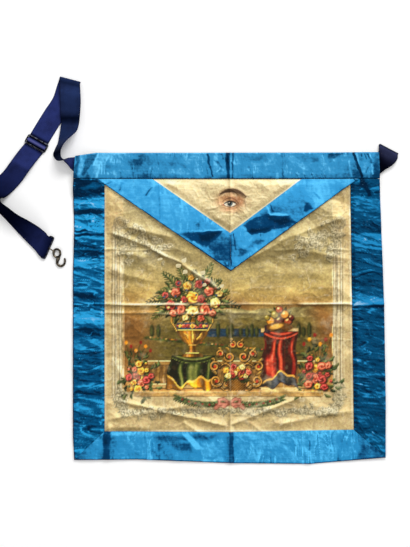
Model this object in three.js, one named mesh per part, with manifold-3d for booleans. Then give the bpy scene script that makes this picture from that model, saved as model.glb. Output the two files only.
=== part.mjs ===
// A fraternal apron lying on a flat surface: a cream satin sheet edged with blue ribbon, a pointed flap,
// and a webbing strap with a slider and a snake hook. Millimetres, +Z up, +Y towards the waistband.
// The origin is the middle of the apron's underside, on the surface that it lies on.
import * as THREE from "three";
import { mergeVertices } from "three/addons/utils/BufferGeometryUtils.js";
import Module from "manifold-3d";

// Cloth thicknesses, and the gap that pieces keep.
const GAP = 0.3;
const CLOTH = 1.2;
const STEP = 14; // size of a cell in the grid that every sheet's surface is laid on
const HALF_SPAN = 15 * STEP; // the grid reaches past the apron on every side
const CUTTER_HEIGHT = 60; // an outline's prism reaches past every layer
const MERGE_DISTANCE = 1e-3;

// The apron's outline, from the left end of the top edge and clockwise.
const LOWER_RIGHT = { x: 193.5, y: -186.5 };
const LOWER_LEFT = { x: -192.5, y: -189.5 };
const APRON_EDGE = [
  { x: -190.5, y: 188.5 },
  { x: -165.5, y: 191.5 },
  { x: 186.5, y: 191.5 },
  { x: 189, y: 110 },
  { x: 191.5, y: 4 },
  { x: 193.5, y: -115 },
  LOWER_RIGHT,
  { x: 100, y: -194.5 },
  { x: 0, y: -193.5 },
  { x: -111, y: -189 },
  LOWER_LEFT,
  { x: -194, y: -160 },
  { x: -194, y: 43 },
  { x: -192.5, y: 95 },
  { x: -194, y: 145 },
];

// Where the ribbons end on the sheet.
const WAISTBAND_BOTTOM = 158.8;
const SIDE_INNER = { left: -154.8, rightTop: 149.4, rightBottom: 154 };
const BOTTOM_INNER = { left: -154, middle: -155, right: -152 };

// The flap: where its outer edges leave the waistband, where they pass the side ribbons, and its point.
const FLAP = {
  top: WAISTBAND_BOTTOM - GAP,
  leftEnd: -164.5,
  leftBend: { x: -155, y: 151.7 },
  point: { x: 1.5, y: 44.5 },
  rightBend: { x: 149.4, y: 151.7 },
  rightEnd: 160.5,
};
const FLAP_OPENING = { left: -95.4, right: 89.3, point: { x: 0.6, y: 91.8 } };

// Folds pressed into the whole apron: soft ridges along a line, each with its half width and height.
const FOLDS = [
  { x0: -194, y0: -1, x1: -45, y1: -1, half: 17, height: 2.4 },
  { x0: 82, y0: 2, x1: 192, y1: 3, half: 17, height: 2.4 },
  { x0: 1, y0: 195, x1: 1, y1: 60, half: 15, height: 1.6 },
  { x0: 1, y0: -112, x1: 1, y1: -196, half: 15, height: 2 },
  { x0: -92, y0: 83, x1: -24, y1: 36, half: 17, height: 2 },
  { x0: -194, y0: 71, x1: -70, y1: 71, half: 15, height: 1.4 },
  { x0: -111, y0: -152, x1: -2, y1: -116, half: 17, height: 1.8 },
  { x0: 4, y0: -116, x1: 87, y1: -152, half: 17, height: 1.8 },
  { x0: -153, y0: -196, x1: -150, y1: -150, half: 15, height: 2.2 },
  { x0: -88, y0: -196, x1: -88, y1: -160, half: 15, height: 1.4 },
  { x0: 97, y0: -196, x1: 97, y1: -150, half: 15, height: 1.6 },
  { x0: -196, y0: 128, x1: -158, y1: 128, half: 15, height: 2.6 },
  { x0: -196, y0: 36, x1: -158, y1: 36, half: 15, height: 2 },
  { x0: -196, y0: -58, x1: -158, y1: -64, half: 15, height: 1.6 },
  { x0: -196, y0: -112, x1: -158, y1: -110, half: 15, height: 1.6 },
  { x0: 152, y0: 128, x1: 192, y1: 122, half: 15, height: 2.2 },
  { x0: 154, y0: 60, x1: 192, y1: 62, half: 15, height: 1.8 },
  { x0: 156, y0: -70, x1: 194, y1: -66, half: 15, height: 1.6 },
];

// Soft lifts: the two top corners lie over the ends of the straps.
const CORNER_LIFTS = [
  { x: -193, y: 178, radius: 62, height: 7 },
  { x: 178, y: 174, radius: 66, height: 6.7 },
];

// The flap's own swells, and how far its ends climb onto the side ribbons.
const FLAP_SWELLS = [
  { x: -78, y: 116, radius: 58, height: 3.6 },
  { x: 86, y: 122, radius: 56, height: 3.6 },
];
const FLAP_CLIMB = { from: 112, to: 138 };

// Heights of the layers over the sheet's underside.
const RIBBON_LEVEL = CLOTH + GAP;
const FLAP_RIBBON_LEVEL = RIBBON_LEVEL + CLOTH + GAP;
const WAISTBAND_THICKNESS = 2 * CLOTH + GAP; // a doubled ribbon

// The webbing strap.
const WEBBING = 25.4;
const WEBBING_THICKNESS = 1.3;
const DOUBLED_THICKNESS = 2.8;
const STRAP_STEPS = 2; // sections between two rows of a strap's table
const ON_FLOOR = WEBBING_THICKNESS / 2 + 0.25;
const FOLD_WIDTH = 26.4; // across the strap along the slanted line of a fold
const WIRE_CLEARANCE = 0.4; // between a wire and what it runs through

// Sections of the single strap, from its sewn end under the corner to the fold at the top of its run.
// side is the plan angle from the middle to the first edge, roll how far that edge stands above the middle.
const STRAP_RISE = [
  { x: -176, y: 179, z: ON_FLOOR, side: 90, roll: 0, width: 20 },
  { x: -191.5, y: 180, z: 2.8, side: 88, roll: -12, width: 19 },
  { x: -201.5, y: 184, z: 9.8, side: 88, roll: -64, width: 20 },
  { x: -207, y: 185.8, z: 12.7, side: 120, roll: -86, width: 24.5 },
  { x: -210.4, y: 187.4, z: 12.9, side: 200, roll: -76, width: WEBBING },
  { x: -212.4, y: 191.8, z: 12.8, side: 188, roll: -65, width: WEBBING },
  { x: -209.6, y: 198.4, z: 12.8, side: 178, roll: -65, width: WEBBING },
  { x: -205.8, y: 205.8, z: 13, side: 180, roll: -56, width: WEBBING },
  { x: -201.5, y: 214.5, z: 11.8, side: 180, roll: -39, width: WEBBING },
  { x: -199, y: 224.5, z: 9.6, side: 180, roll: -27, width: WEBBING },
  { x: -198, y: 237, z: 7.4, side: 180, roll: -16, width: WEBBING },
  { x: -198, y: 247, z: 5.4, side: 178, roll: -8, width: WEBBING },
  { x: -197.5, y: 255, z: 6.6, side: 176, roll: -5, width: WEBBING },
  { x: -197.5, y: 263, z: 7.4, side: 173, roll: -3, width: WEBBING },
  { x: -197.7, y: 272, z: 5.6, side: 169, roll: 0, width: WEBBING },
];
const TOP_FOLD = { x: -197.8, y: 280, lineAngle: 165.3, radius: 1.7, steps: 4 };
// The run down from the fold to the slider, and its side angle where it reaches the slider.
const RUN_ANGLE = 150.5;
const STRAP_RUN = [
  { x: -201.7, y: 270.5, z: ON_FLOOR, side: 162, roll: 0, width: WEBBING },
  { x: -207.3, y: 254, z: ON_FLOOR, side: 155, roll: 0, width: WEBBING },
  { x: -217.6, y: 238, z: ON_FLOOR, side: 151.5, roll: 0, width: WEBBING },
];

// The slider: a flat bronze frame with a middle bar, square to the strap's run.
const SLIDER = { x: -239, y: 202.5, length: 31, depth: 12.4, bar: 1.8, bottom: 1.8, corner: 2, bevel: 0.35 };
// How the strap is threaded: its way in, its clearance over the middle bar, and the slope up to the bar.
const THREADING = { wayIn: 6, clearance: 0.5, slope: 1.3, slopeRise: 0.2 };

// Sections of the doubled strap, from the slider to the hook.
const STRAP_RETURN = [
  { x: -246.5, y: 191.5, z: 2.4, side: 148, roll: 0, width: WEBBING },
  { x: -252.5, y: 184.5, z: 5, side: 146, roll: 0, width: WEBBING },
  { x: -257.5, y: 177.5, z: 7.4, side: 147, roll: 0, width: WEBBING },
  { x: -262.5, y: 170, z: 6.6, side: 145, roll: 0, width: WEBBING },
  { x: -270, y: 159, z: 3.6, side: 143, roll: 0, width: WEBBING },
  { x: -280, y: 148, z: 2.2, side: 143, roll: -2, width: WEBBING },
  { x: -287.5, y: 139, z: 5.2, side: 150, roll: -16, width: WEBBING },
  { x: -288.5, y: 128.5, z: 9.4, side: 183, roll: -38, width: WEBBING },
  { x: -284.5, y: 119.5, z: 11, side: 212, roll: -48, width: WEBBING },
  { x: -274.5, y: 111.5, z: 11.2, side: 217, roll: -52, width: WEBBING },
  { x: -262, y: 102.2, z: 8.8, side: 217, roll: -37, width: WEBBING },
  { x: -251, y: 94.2, z: 5.6, side: 221, roll: -19, width: WEBBING },
  { x: -239.8, y: 85.2, z: 2.6, side: 231, roll: -5, width: WEBBING },
];
const STRAP_END = { x: -225.8, y: 73.6, z: 2.35, side: 247, thickness: 4.2, width: WEBBING };
const TUNNEL_BACK = 2.4; // from the strap's end to the middle of the wire that runs through it
const TUNNEL_LENGTH = 1.5 * WEBBING;
const TUNNEL_SIDES = 8;
const END_RUN = 2; // the thick end goes on behind the wire
const START_LIFT = 0.1; // the doubled strap starts this far over the floor

// The wire loop at the strap's end.
const HOOK_LOOP = { length: 31.5, width: 7.6, wire: 1.8, corner: 2, bevel: 0.4, tilt: 5.4 };

// The small upright link that joins the loop and the hook's eye.
const LINK = { length: 10.8, height: 5.2, wire: 1, bevel: 0.2, angle: -33, z: 2.8 };

// The snake hook: an eye round the loop's outer wire, and a shank that curls round to a hook.
const HOOK = { wire: 3.1, sides: 8, steps: 26 };
const HOOK_EYE = { x: -214.4, y: 66.8, z: 2.8, length: 12.6, width: 9.8, wire: 2.7, bevel: 0.6, angle: -80 };
const HOOK_PATH = [
  { x: -212.4, y: 63, z: 2.8 },
  { x: -212.3, y: 60.4, z: 2.3 },
  { x: -213.9, y: 56.6, z: 1.9 },
  { x: -213, y: 52.9, z: 1.8 },
  { x: -209.3, y: 50.7, z: 1.8 },
  { x: -205.4, y: 52.4, z: 1.8 },
  { x: -203.9, y: 56, z: 1.8 },
  { x: -204.4, y: 60.8, z: 2 },
];

// The short tab at the right corner: out from under the sheet, folded, and back to the catch loop.
const TAB_OUT = [
  { x: 167, y: 164.5, z: ON_FLOOR, side: 129, roll: 0, width: WEBBING },
  { x: 185, y: 179.5, z: ON_FLOOR, side: 129, roll: 0, width: WEBBING },
];
const TAB_FOLD = { x: 196.6, y: 194.4, lineAngle: 152.4, radius: 1.6, steps: 4 };
const TAB_BACK = [
  { x: 194.8, y: 183.8, z: 4.6, side: 163, roll: -4, width: 25 },
  { x: 186.4, y: 177.4, z: 3.8, side: 146, roll: 0, width: 24 },
  { x: 176, y: 170, z: 3, side: 122, roll: 0, width: 24 },
];
const TAB_END = { x: 164, y: 165, z: 2.5, side: 106, thickness: 4, width: 22 };
const CATCH_LOOP = { length: 30, width: 12, wire: 1.8, corner: 2, bevel: 0.4 };

const FINISH = {
  cream: { color: 0xd9c48f, roughness: 0.55, metalness: 0 },
  ribbon: { color: 0x2f93c8, roughness: 0.35, metalness: 0 },
  webbing: { color: 0x232c5c, roughness: 0.8, metalness: 0 },
  bronze: { color: 0x5a4a34, roughness: 0.4, metalness: 0.9 },
};

const wasm = await Module();
wasm.setup();

const radians = THREE.MathUtils.degToRad;
const apron = new THREE.Group();

function addPiece(name, geometry, finish) {
  const piece = new THREE.Mesh(geometry, new THREE.MeshStandardMaterial(FINISH[finish]));
  piece.name = name;
  apron.add(piece);
  return piece;
}

function toSolid(geometry) {
  const bare = geometry.clone();
  bare.deleteAttribute("normal");
  bare.deleteAttribute("uv");
  const merged = mergeVertices(bare, MERGE_DISTANCE);
  const mesh = new wasm.Mesh({
    numProp: 3,
    vertProperties: new Float32Array(merged.attributes.position.array),
    triVerts: new Uint32Array(merged.index.array),
  });
  return new wasm.Manifold(mesh);
}

function toGeometry(solid) {
  const mesh = solid.getMesh();
  const geometry = new THREE.BufferGeometry();
  geometry.setAttribute("position", new THREE.BufferAttribute(mesh.vertProperties, 3));
  geometry.setIndex(new THREE.BufferAttribute(mesh.triVerts, 1));
  geometry.computeVertexNormals();
  return geometry;
}

// 1 at the middle, falling smoothly to 0 at a distance of one.
function swell(distance) {
  return distance >= 1 ? 0 : (1 - distance * distance) ** 2;
}

function distanceToFold(x, y, fold) {
  const along = new THREE.Vector2(fold.x1 - fold.x0, fold.y1 - fold.y0);
  const from = new THREE.Vector2(x - fold.x0, y - fold.y0);
  const share = THREE.MathUtils.clamp(from.dot(along) / along.lengthSq(), 0, 1);
  return from.sub(along.multiplyScalar(share)).length();
}

// Height of the sheet's underside over the surface that it lies on.
function drape(x, y) {
  const folds = FOLDS.map((f) => f.height * swell(distanceToFold(x, y, f) / f.half));
  const lifts = CORNER_LIFTS.map((c) => c.height * swell(Math.hypot(x - c.x, y - c.y) / c.radius));
  return Math.max(...folds, ...lifts);
}

// Extra height of the flap over the sheet.
function flapLift(x, y) {
  const swells = FLAP_SWELLS.map((s) => s.height * swell(Math.hypot(x - s.x, y - s.y) / s.radius));
  const climb = (CLOTH + GAP) * THREE.MathUtils.smoothstep(Math.abs(x), FLAP_CLIMB.from, FLAP_CLIMB.to);
  return climb + Math.max(...swells);
}

// A slab of even thickness over the whole grid, its underside at heightAt(x, y).
function clothSlab(heightAt, thickness) {
  const count = Math.round((2 * HALF_SPAN) / STEP);
  const row = count + 1;
  const layer = row * row;
  const positions = [];
  for (const lift of [0, thickness])
    for (let j = 0; j <= count; j++)
      for (let i = 0; i <= count; i++) {
        const x = i * STEP - HALF_SPAN;
        const y = j * STEP - HALF_SPAN;
        positions.push(x, y, heightAt(x, y) + lift);
      }
  const faces = [];
  const quad = (a, b, c, d) => faces.push(a, b, c, a, c, d);
  for (let j = 0; j < count; j++)
    for (let i = 0; i < count; i++) {
      const a = j * row + i;
      quad(layer + a, layer + a + 1, layer + a + row + 1, layer + a + row);
      faces.push(a, a + row + 1, a + 1, a, a + row, a + row + 1);
    }
  for (let k = 0; k < count; k++) {
    const top = count * row + k;
    const left = k * row;
    const right = left + count;
    quad(k, k + 1, layer + k + 1, layer + k);
    quad(top + 1, top, layer + top, layer + top + 1);
    quad(left + row, left, layer + left, layer + left + row);
    quad(right, right + row, layer + right + row, layer + right);
  }
  const geometry = new THREE.BufferGeometry();
  geometry.setAttribute("position", new THREE.Float32BufferAttribute(positions, 3));
  geometry.setIndex(faces);
  return toSolid(geometry);
}

// An upright prism with the outline of the given corners.
function cutter(corners) {
  const outline = new THREE.Shape(corners.map((c) => new THREE.Vector2(c.x, c.y)));
  const geometry = new THREE.ExtrudeGeometry(outline, { depth: CUTTER_HEIGHT, bevelEnabled: false });
  geometry.translate(0, 0, -CUTTER_HEIGHT / 2);
  return toSolid(geometry);
}

function addSheet(name, finish, outline, level, thickness, lift = () => 0) {
  const slab = clothSlab((x, y) => drape(x, y) + level + lift(x, y), thickness);
  const shape = outline.reduce((solid, corners) => solid.intersect(cutter(corners)), slab);
  return addPiece(name, toGeometry(shape), finish);
}

function buildApron() {
  const out = HALF_SPAN;
  const top = WAISTBAND_BOTTOM - GAP;
  const half = GAP / 2;
  const leftMitre = { x: SIDE_INNER.left, y: BOTTOM_INNER.left };
  const rightMitre = { x: SIDE_INNER.rightBottom, y: BOTTOM_INNER.right };
  // The mitres run from the ribbons' inner corner through the apron's corner and on.
  const past = (corner, edge) => ({ x: edge.x * 2 - corner.x, y: edge.y * 2 - corner.y });
  const leftOut = past(leftMitre, LOWER_LEFT);
  const rightOut = past(rightMitre, LOWER_RIGHT);
  const shifted = (p, dy) => ({ x: p.x, y: p.y + dy });
  const band = [
    { x: -out, y: WAISTBAND_BOTTOM },
    { x: out, y: WAISTBAND_BOTTOM },
    { x: out, y: out },
    { x: -out, y: out },
  ];
  const left = [
    { x: -out, y: top },
    shifted(leftOut, half),
    shifted(leftMitre, half),
    { x: SIDE_INNER.left, y: top },
  ];
  const right = [
    { x: SIDE_INNER.rightTop, y: top },
    shifted(rightMitre, half),
    shifted(rightOut, half),
    { x: out, y: top },
  ];
  const bottom = [
    shifted(leftOut, -half),
    shifted(rightOut, -half),
    shifted(rightMitre, -half),
    { x: 0, y: BOTTOM_INNER.middle },
    shifted(leftMitre, -half),
  ];
  addSheet("panel", "cream", [APRON_EDGE], 0, CLOTH);
  addSheet("waistband", "ribbon", [APRON_EDGE, band], RIBBON_LEVEL, WAISTBAND_THICKNESS);
  addSheet("border_left", "ribbon", [APRON_EDGE, left], RIBBON_LEVEL, CLOTH);
  addSheet("border_right", "ribbon", [APRON_EDGE, right], RIBBON_LEVEL, CLOTH);
  addSheet("border_bottom", "ribbon", [APRON_EDGE, bottom], RIBBON_LEVEL, CLOTH);
}

function buildFlap() {
  const { top, leftEnd, leftBend, point, rightBend, rightEnd } = FLAP;
  const half = GAP / 2;
  const whole = [{ x: leftEnd, y: top }, leftBend, point, rightBend, { x: rightEnd, y: top }];
  const inner = FLAP_OPENING.point;
  const leftBand = [
    { x: leftEnd, y: top },
    leftBend,
    { x: point.x - half, y: point.y },
    { x: inner.x - half, y: inner.y },
    { x: FLAP_OPENING.left, y: top },
  ];
  const rightBand = [
    { x: rightEnd, y: top },
    { x: FLAP_OPENING.right, y: top },
    { x: inner.x + half, y: inner.y },
    { x: point.x + half, y: point.y },
    rightBend,
  ];
  addSheet("flap_panel", "cream", [whole], RIBBON_LEVEL, CLOTH, flapLift);
  addSheet("flap_border_left", "ribbon", [leftBand], FLAP_RIBBON_LEVEL, CLOTH, flapLift);
  addSheet("flap_border_right", "ribbon", [rightBand], FLAP_RIBBON_LEVEL, CLOTH, flapLift);
}

// The two edges of a strap at one section.
function edgesOf(section) {
  const middle = new THREE.Vector3(section.x, section.y, section.z);
  const across = new THREE.Vector3(Math.cos(radians(section.side)), Math.sin(radians(section.side)), 0)
    .multiplyScalar(Math.cos(radians(section.roll)))
    .setZ(Math.sin(radians(section.roll)))
    .multiplyScalar(section.width / 2);
  return { first: middle.clone().add(across), second: middle.clone().sub(across) };
}

// A strap of even thickness lofted through its sections.
function strapSolid(sections, thickness) {
  const edges = sections.map(edgesOf);
  const first = new THREE.CatmullRomCurve3(edges.map((e) => e.first));
  const second = new THREE.CatmullRomCurve3(edges.map((e) => e.second));
  const count = (sections.length - 1) * STRAP_STEPS;
  const thicknessAt = (share) => {
    const place = share * (sections.length - 1);
    const index = Math.min(Math.floor(place), sections.length - 2);
    const here = sections[index].thickness ?? thickness;
    const next = sections[index + 1].thickness ?? thickness;
    return THREE.MathUtils.lerp(here, next, place - index);
  };
  const positions = [];
  for (let k = 0; k <= count; k++) {
    const share = k / count;
    const a = first.getPoint(share);
    const b = second.getPoint(share);
    const along = first.getTangent(share).add(second.getTangent(share)).normalize();
    const normal = along.cross(a.clone().sub(b)).setLength(thicknessAt(share) / 2);
    for (const corner of [a.clone().sub(normal), b.clone().sub(normal), b.clone().add(normal), a.clone().add(normal)])
      positions.push(...corner.toArray());
  }
  const faces = [0, 1, 2, 0, 2, 3];
  for (let k = 0; k < count; k++)
    for (let side = 0; side < 4; side++) {
      const a = k * 4 + side;
      const b = k * 4 + ((side + 1) % 4);
      faces.push(a, a + 4, b + 4, a, b + 4, b);
    }
  const last = count * 4;
  faces.push(last, last + 2, last + 1, last, last + 3, last + 2);
  const geometry = new THREE.BufferGeometry();
  geometry.setAttribute("position", new THREE.Float32BufferAttribute(positions, 3));
  geometry.setIndex(faces);
  return toSolid(geometry);
}

// Sections round a flat fold: over its line and back underneath, or the other way up.
function foldSections(fold, lowMiddle, downwards) {
  const sections = [];
  const outward = radians(fold.lineAngle - 90);
  for (let k = 0; k <= fold.steps; k++) {
    const turn = (Math.PI * k) / fold.steps;
    const height = fold.radius * Math.cos(turn) * (downwards ? 1 : -1);
    sections.push({
      x: fold.x + Math.cos(outward) * fold.radius * Math.sin(turn),
      y: fold.y + Math.sin(outward) * fold.radius * Math.sin(turn),
      z: lowMiddle + fold.radius + height,
      side: fold.lineAngle,
      roll: 0,
      width: FOLD_WIDTH,
    });
  }
  return sections;
}

// Sections of the single strap where it is threaded: under the slider's outer bars and over its middle one.
function threadedSections() {
  const heading = radians(RUN_ANGLE + 90);
  const round = SLIDER.bar / 2 + WEBBING_THICKNESS / 2 + THREADING.clearance;
  const barHeight = SLIDER.bottom + SLIDER.bar / 2;
  const path = [
    { along: -SLIDER.depth / 2 - THREADING.wayIn, z: ON_FLOOR },
    { along: -SLIDER.depth / 2 + THREADING.clearance, z: ON_FLOOR },
    { along: -round - THREADING.slope, z: ON_FLOOR + THREADING.slopeRise },
    { along: -round, z: barHeight },
    { along: -round * Math.SQRT1_2, z: barHeight + round * Math.SQRT1_2 },
    { along: 0, z: barHeight + round },
    { along: round * Math.SQRT1_2, z: barHeight + round * Math.SQRT1_2 },
    { along: round, z: barHeight },
    { along: round + THREADING.slope, z: ON_FLOOR + THREADING.slopeRise },
    { along: SLIDER.depth / 2, z: ON_FLOOR },
  ];
  return path.map(({ along, z }) => ({
    x: SLIDER.x + Math.cos(heading) * along,
    y: SLIDER.y + Math.sin(heading) * along,
    z,
    side: RUN_ANGLE,
    roll: 0,
    width: WEBBING,
  }));
}

function buildLongStrap() {
  const sections = [
    ...STRAP_RISE,
    ...foldSections(TOP_FOLD, ON_FLOOR, true),
    ...STRAP_RUN,
    ...threadedSections(),
  ];
  addPiece("strap_long", toGeometry(strapSolid(sections, WEBBING_THICKNESS)), "webbing");
}

function roundedRectangle(path, length, depth, corner, middle = 0) {
  const x = length / 2;
  const y = depth / 2;
  path.moveTo(-x + corner, middle - y);
  path.lineTo(x - corner, middle - y);
  path.absarc(x - corner, middle - y + corner, corner, -Math.PI / 2, 0, false);
  path.absarc(x - corner, middle + y - corner, corner, 0, Math.PI / 2, false);
  path.absarc(-x + corner, middle + y - corner, corner, Math.PI / 2, Math.PI, false);
  path.absarc(-x + corner, middle - y + corner, corner, Math.PI, 1.5 * Math.PI, false);
  return path;
}

// A flat frame of square wire with eased edges, centred on its own middle. Each slot is one opening of it.
function frameGeometry({ length, outerDepth, wire, corner, bevel, slots }) {
  const outline = roundedRectangle(
    new THREE.Shape(),
    length - 2 * bevel,
    outerDepth - 2 * bevel,
    corner - bevel,
  );
  for (const slot of slots)
    outline.holes.push(
      roundedRectangle(
        new THREE.Path(),
        length - 2 * wire + 2 * bevel,
        slot.depth + 2 * bevel,
        Math.min(corner, slot.depth / 2),
        slot.middle,
      ),
    );
  const geometry = new THREE.ExtrudeGeometry(outline, {
    depth: wire - 2 * bevel,
    bevelEnabled: true,
    bevelThickness: bevel,
    bevelSize: bevel,
    bevelSegments: 1,
    curveSegments: 3,
  });
  return geometry.translate(0, 0, -(wire - 2 * bevel) / 2);
}

function buildSlider() {
  const slotDepth = (SLIDER.depth - 3 * SLIDER.bar) / 2;
  const slotMiddle = (slotDepth + SLIDER.bar) / 2;
  const geometry = frameGeometry({
    length: SLIDER.length,
    outerDepth: SLIDER.depth,
    wire: SLIDER.bar,
    corner: SLIDER.corner,
    bevel: SLIDER.bevel,
    slots: [-slotMiddle, slotMiddle].map((middle) => ({ depth: slotDepth, middle })),
  });
  const slider = addPiece("slider", geometry, "bronze");
  slider.position.set(SLIDER.x, SLIDER.y, SLIDER.bottom + SLIDER.bar / 2);
  slider.rotation.z = radians(RUN_ANGLE);
}

// A wire loop threaded through a strap's end: its geometry, placed and turned with the end.
function endLoop(end, loop, tilt = 0) {
  const geometry = frameGeometry({
    length: loop.length,
    outerDepth: loop.width,
    wire: loop.wire,
    corner: loop.corner,
    bevel: loop.bevel,
    slots: [{ depth: loop.width - 2 * loop.wire, middle: 0 }],
  });
  // The inner wire is the loop's pivot: it lies in the strap's end, and the loop tilts up from it.
  geometry.translate(0, loop.width / 2 - loop.wire / 2, 0);
  geometry.rotateX(radians(tilt));
  geometry.rotateZ(radians(end.side));
  const heading = radians(end.side + 90);
  geometry.translate(
    end.x - Math.cos(heading) * TUNNEL_BACK,
    end.y - Math.sin(heading) * TUNNEL_BACK,
    end.z,
  );
  return geometry;
}

// The tunnel that a loop's inner wire takes through the strap.
function tunnel(end, wire) {
  const radius = wire / 2 + WIRE_CLEARANCE;
  const bar = new THREE.CylinderGeometry(radius, radius, TUNNEL_LENGTH, TUNNEL_SIDES);
  bar.rotateZ(Math.PI / 2);
  bar.rotateZ(radians(end.side));
  const heading = radians(end.side + 90);
  bar.translate(end.x - Math.cos(heading) * TUNNEL_BACK, end.y - Math.sin(heading) * TUNNEL_BACK, end.z);
  return toSolid(bar);
}

// The thick folded end of a strap, as two sections: behind the wire and at the very end.
function endSections(end) {
  const heading = radians(end.side + 90);
  const at = (back, thickness) => ({
    x: end.x - Math.cos(heading) * back,
    y: end.y - Math.sin(heading) * back,
    z: end.z,
    side: end.side,
    roll: 0,
    width: end.width,
    thickness,
  });
  return [at(TUNNEL_BACK + END_RUN, end.thickness), at(0, end.thickness)];
}

function buildReturnStrap() {
  const heading = radians(RUN_ANGLE + 90);
  const start = SLIDER.depth / 2 + GAP;
  const firstSection = {
    x: SLIDER.x + Math.cos(heading) * start,
    y: SLIDER.y + Math.sin(heading) * start,
    z: DOUBLED_THICKNESS / 2 + START_LIFT,
    side: RUN_ANGLE,
    roll: 0,
    width: WEBBING,
  };
  const sections = [firstSection, ...STRAP_RETURN, ...endSections(STRAP_END)];
  const strap = strapSolid(sections, DOUBLED_THICKNESS).subtract(tunnel(STRAP_END, HOOK_LOOP.wire));
  addPiece("strap_loop", toGeometry(strap), "webbing");
  addPiece("hook_loop", endLoop(STRAP_END, HOOK_LOOP, HOOK_LOOP.tilt), "bronze");
}

function buildLink() {
  const geometry = frameGeometry({
    length: LINK.length,
    outerDepth: LINK.height,
    wire: LINK.wire,
    corner: LINK.height / 2,
    bevel: LINK.bevel,
    slots: [{ depth: LINK.height - 2 * LINK.wire, middle: 0 }],
  });
  const link = addPiece("hook_link", geometry.rotateX(Math.PI / 2), "bronze");
  const heading = radians(STRAP_END.side + 90);
  const direction = radians(LINK.angle);
  // From the strap's end to the loop's outer wire, and on along the link to its middle.
  const reach = HOOK_LOOP.width - HOOK_LOOP.wire - TUNNEL_BACK;
  const past = LINK.length / 2 - LINK.wire - HOOK_LOOP.wire / 2 - WIRE_CLEARANCE;
  link.position.set(
    STRAP_END.x + Math.cos(heading) * reach + Math.cos(direction) * past,
    STRAP_END.y + Math.sin(heading) * reach + Math.sin(direction) * past,
    LINK.z,
  );
  link.rotation.z = direction;
}

function buildHook() {
  const eye = frameGeometry({
    length: HOOK_EYE.length,
    outerDepth: HOOK_EYE.width,
    wire: HOOK_EYE.wire,
    corner: HOOK_EYE.width / 2,
    bevel: HOOK_EYE.bevel,
    slots: [{ depth: HOOK_EYE.width - 2 * HOOK_EYE.wire, middle: 0 }],
  });
  eye.rotateZ(radians(HOOK_EYE.angle));
  eye.translate(HOOK_EYE.x, HOOK_EYE.y, HOOK_EYE.z);
  const path = new THREE.CatmullRomCurve3(HOOK_PATH.map((p) => new THREE.Vector3(p.x, p.y, p.z)));
  const section = new THREE.Shape();
  for (let k = 0; k < HOOK.sides; k++) {
    const angle = (2 * Math.PI * k) / HOOK.sides;
    const place = [(HOOK.wire / 2) * Math.cos(angle), (HOOK.wire / 2) * Math.sin(angle)];
    if (k === 0) section.moveTo(...place);
    else section.lineTo(...place);
  }
  section.closePath();
  const shank = new THREE.ExtrudeGeometry(section, { steps: HOOK.steps, extrudePath: path });
  addPiece("snake_hook", toGeometry(toSolid(eye).add(toSolid(shank))), "bronze");
}

function buildTab() {
  const sections = [
    ...TAB_OUT,
    ...foldSections(TAB_FOLD, ON_FLOOR, false),
    ...TAB_BACK,
    ...endSections(TAB_END),
  ];
  const tab = strapSolid(sections, WEBBING_THICKNESS).subtract(tunnel(TAB_END, CATCH_LOOP.wire));
  addPiece("strap_short", toGeometry(tab), "webbing");
  addPiece("catch_loop", endLoop(TAB_END, CATCH_LOOP), "bronze");
}

buildApron();
buildFlap();
buildLongStrap();
buildSlider();
buildReturnStrap();
buildLink();
buildHook();
buildTab();

export default apron;
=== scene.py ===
"""A fraternal apron lying on a pale floor: cream satin edged with blue ribbon, a pointed flap, and a
navy webbing strap with a slider and a snake hook. Lengths are in millimetres unless a name says
otherwise, +Z up and +Y towards the waistband, and every finished mesh is in metres.
"""

from __future__ import annotations

import logging
import math
from dataclasses import dataclass, field, replace
from enum import Enum
from typing import Callable, Self, Sequence

import bmesh
import bpy
import numpy as np
from mathutils import Matrix, Vector


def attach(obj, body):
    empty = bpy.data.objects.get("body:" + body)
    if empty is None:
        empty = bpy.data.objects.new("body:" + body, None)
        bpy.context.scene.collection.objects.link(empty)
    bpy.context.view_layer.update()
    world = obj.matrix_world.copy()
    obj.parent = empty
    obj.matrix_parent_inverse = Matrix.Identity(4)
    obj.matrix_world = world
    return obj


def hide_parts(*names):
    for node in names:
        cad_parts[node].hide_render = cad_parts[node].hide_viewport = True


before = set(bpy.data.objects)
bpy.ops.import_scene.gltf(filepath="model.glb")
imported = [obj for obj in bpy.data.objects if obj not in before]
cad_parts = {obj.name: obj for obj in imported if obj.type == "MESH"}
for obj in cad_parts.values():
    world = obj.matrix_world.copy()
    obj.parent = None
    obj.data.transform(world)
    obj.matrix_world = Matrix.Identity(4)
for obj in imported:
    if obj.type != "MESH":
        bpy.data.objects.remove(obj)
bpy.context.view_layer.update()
LOG = logging.getLogger("apron")
MM = 0.001
SCATTER = 43758.5453
BRIGHTNESS = np.array([0.3, 0.6, 0.1])
LIGHT_X, LIGHT_Y = 0.35, 0.94

Array = np.ndarray
Point = tuple[float, float]
Line = tuple[Point, ...]
Triple = tuple[float, float, float]
Colour = int
Height = Callable[[Array, Array], Array]
Shape = bmesh.types.BMesh
Piece = bpy.types.Object
Socket = bpy.types.NodeSocket
Material = bpy.types.Material

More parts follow.
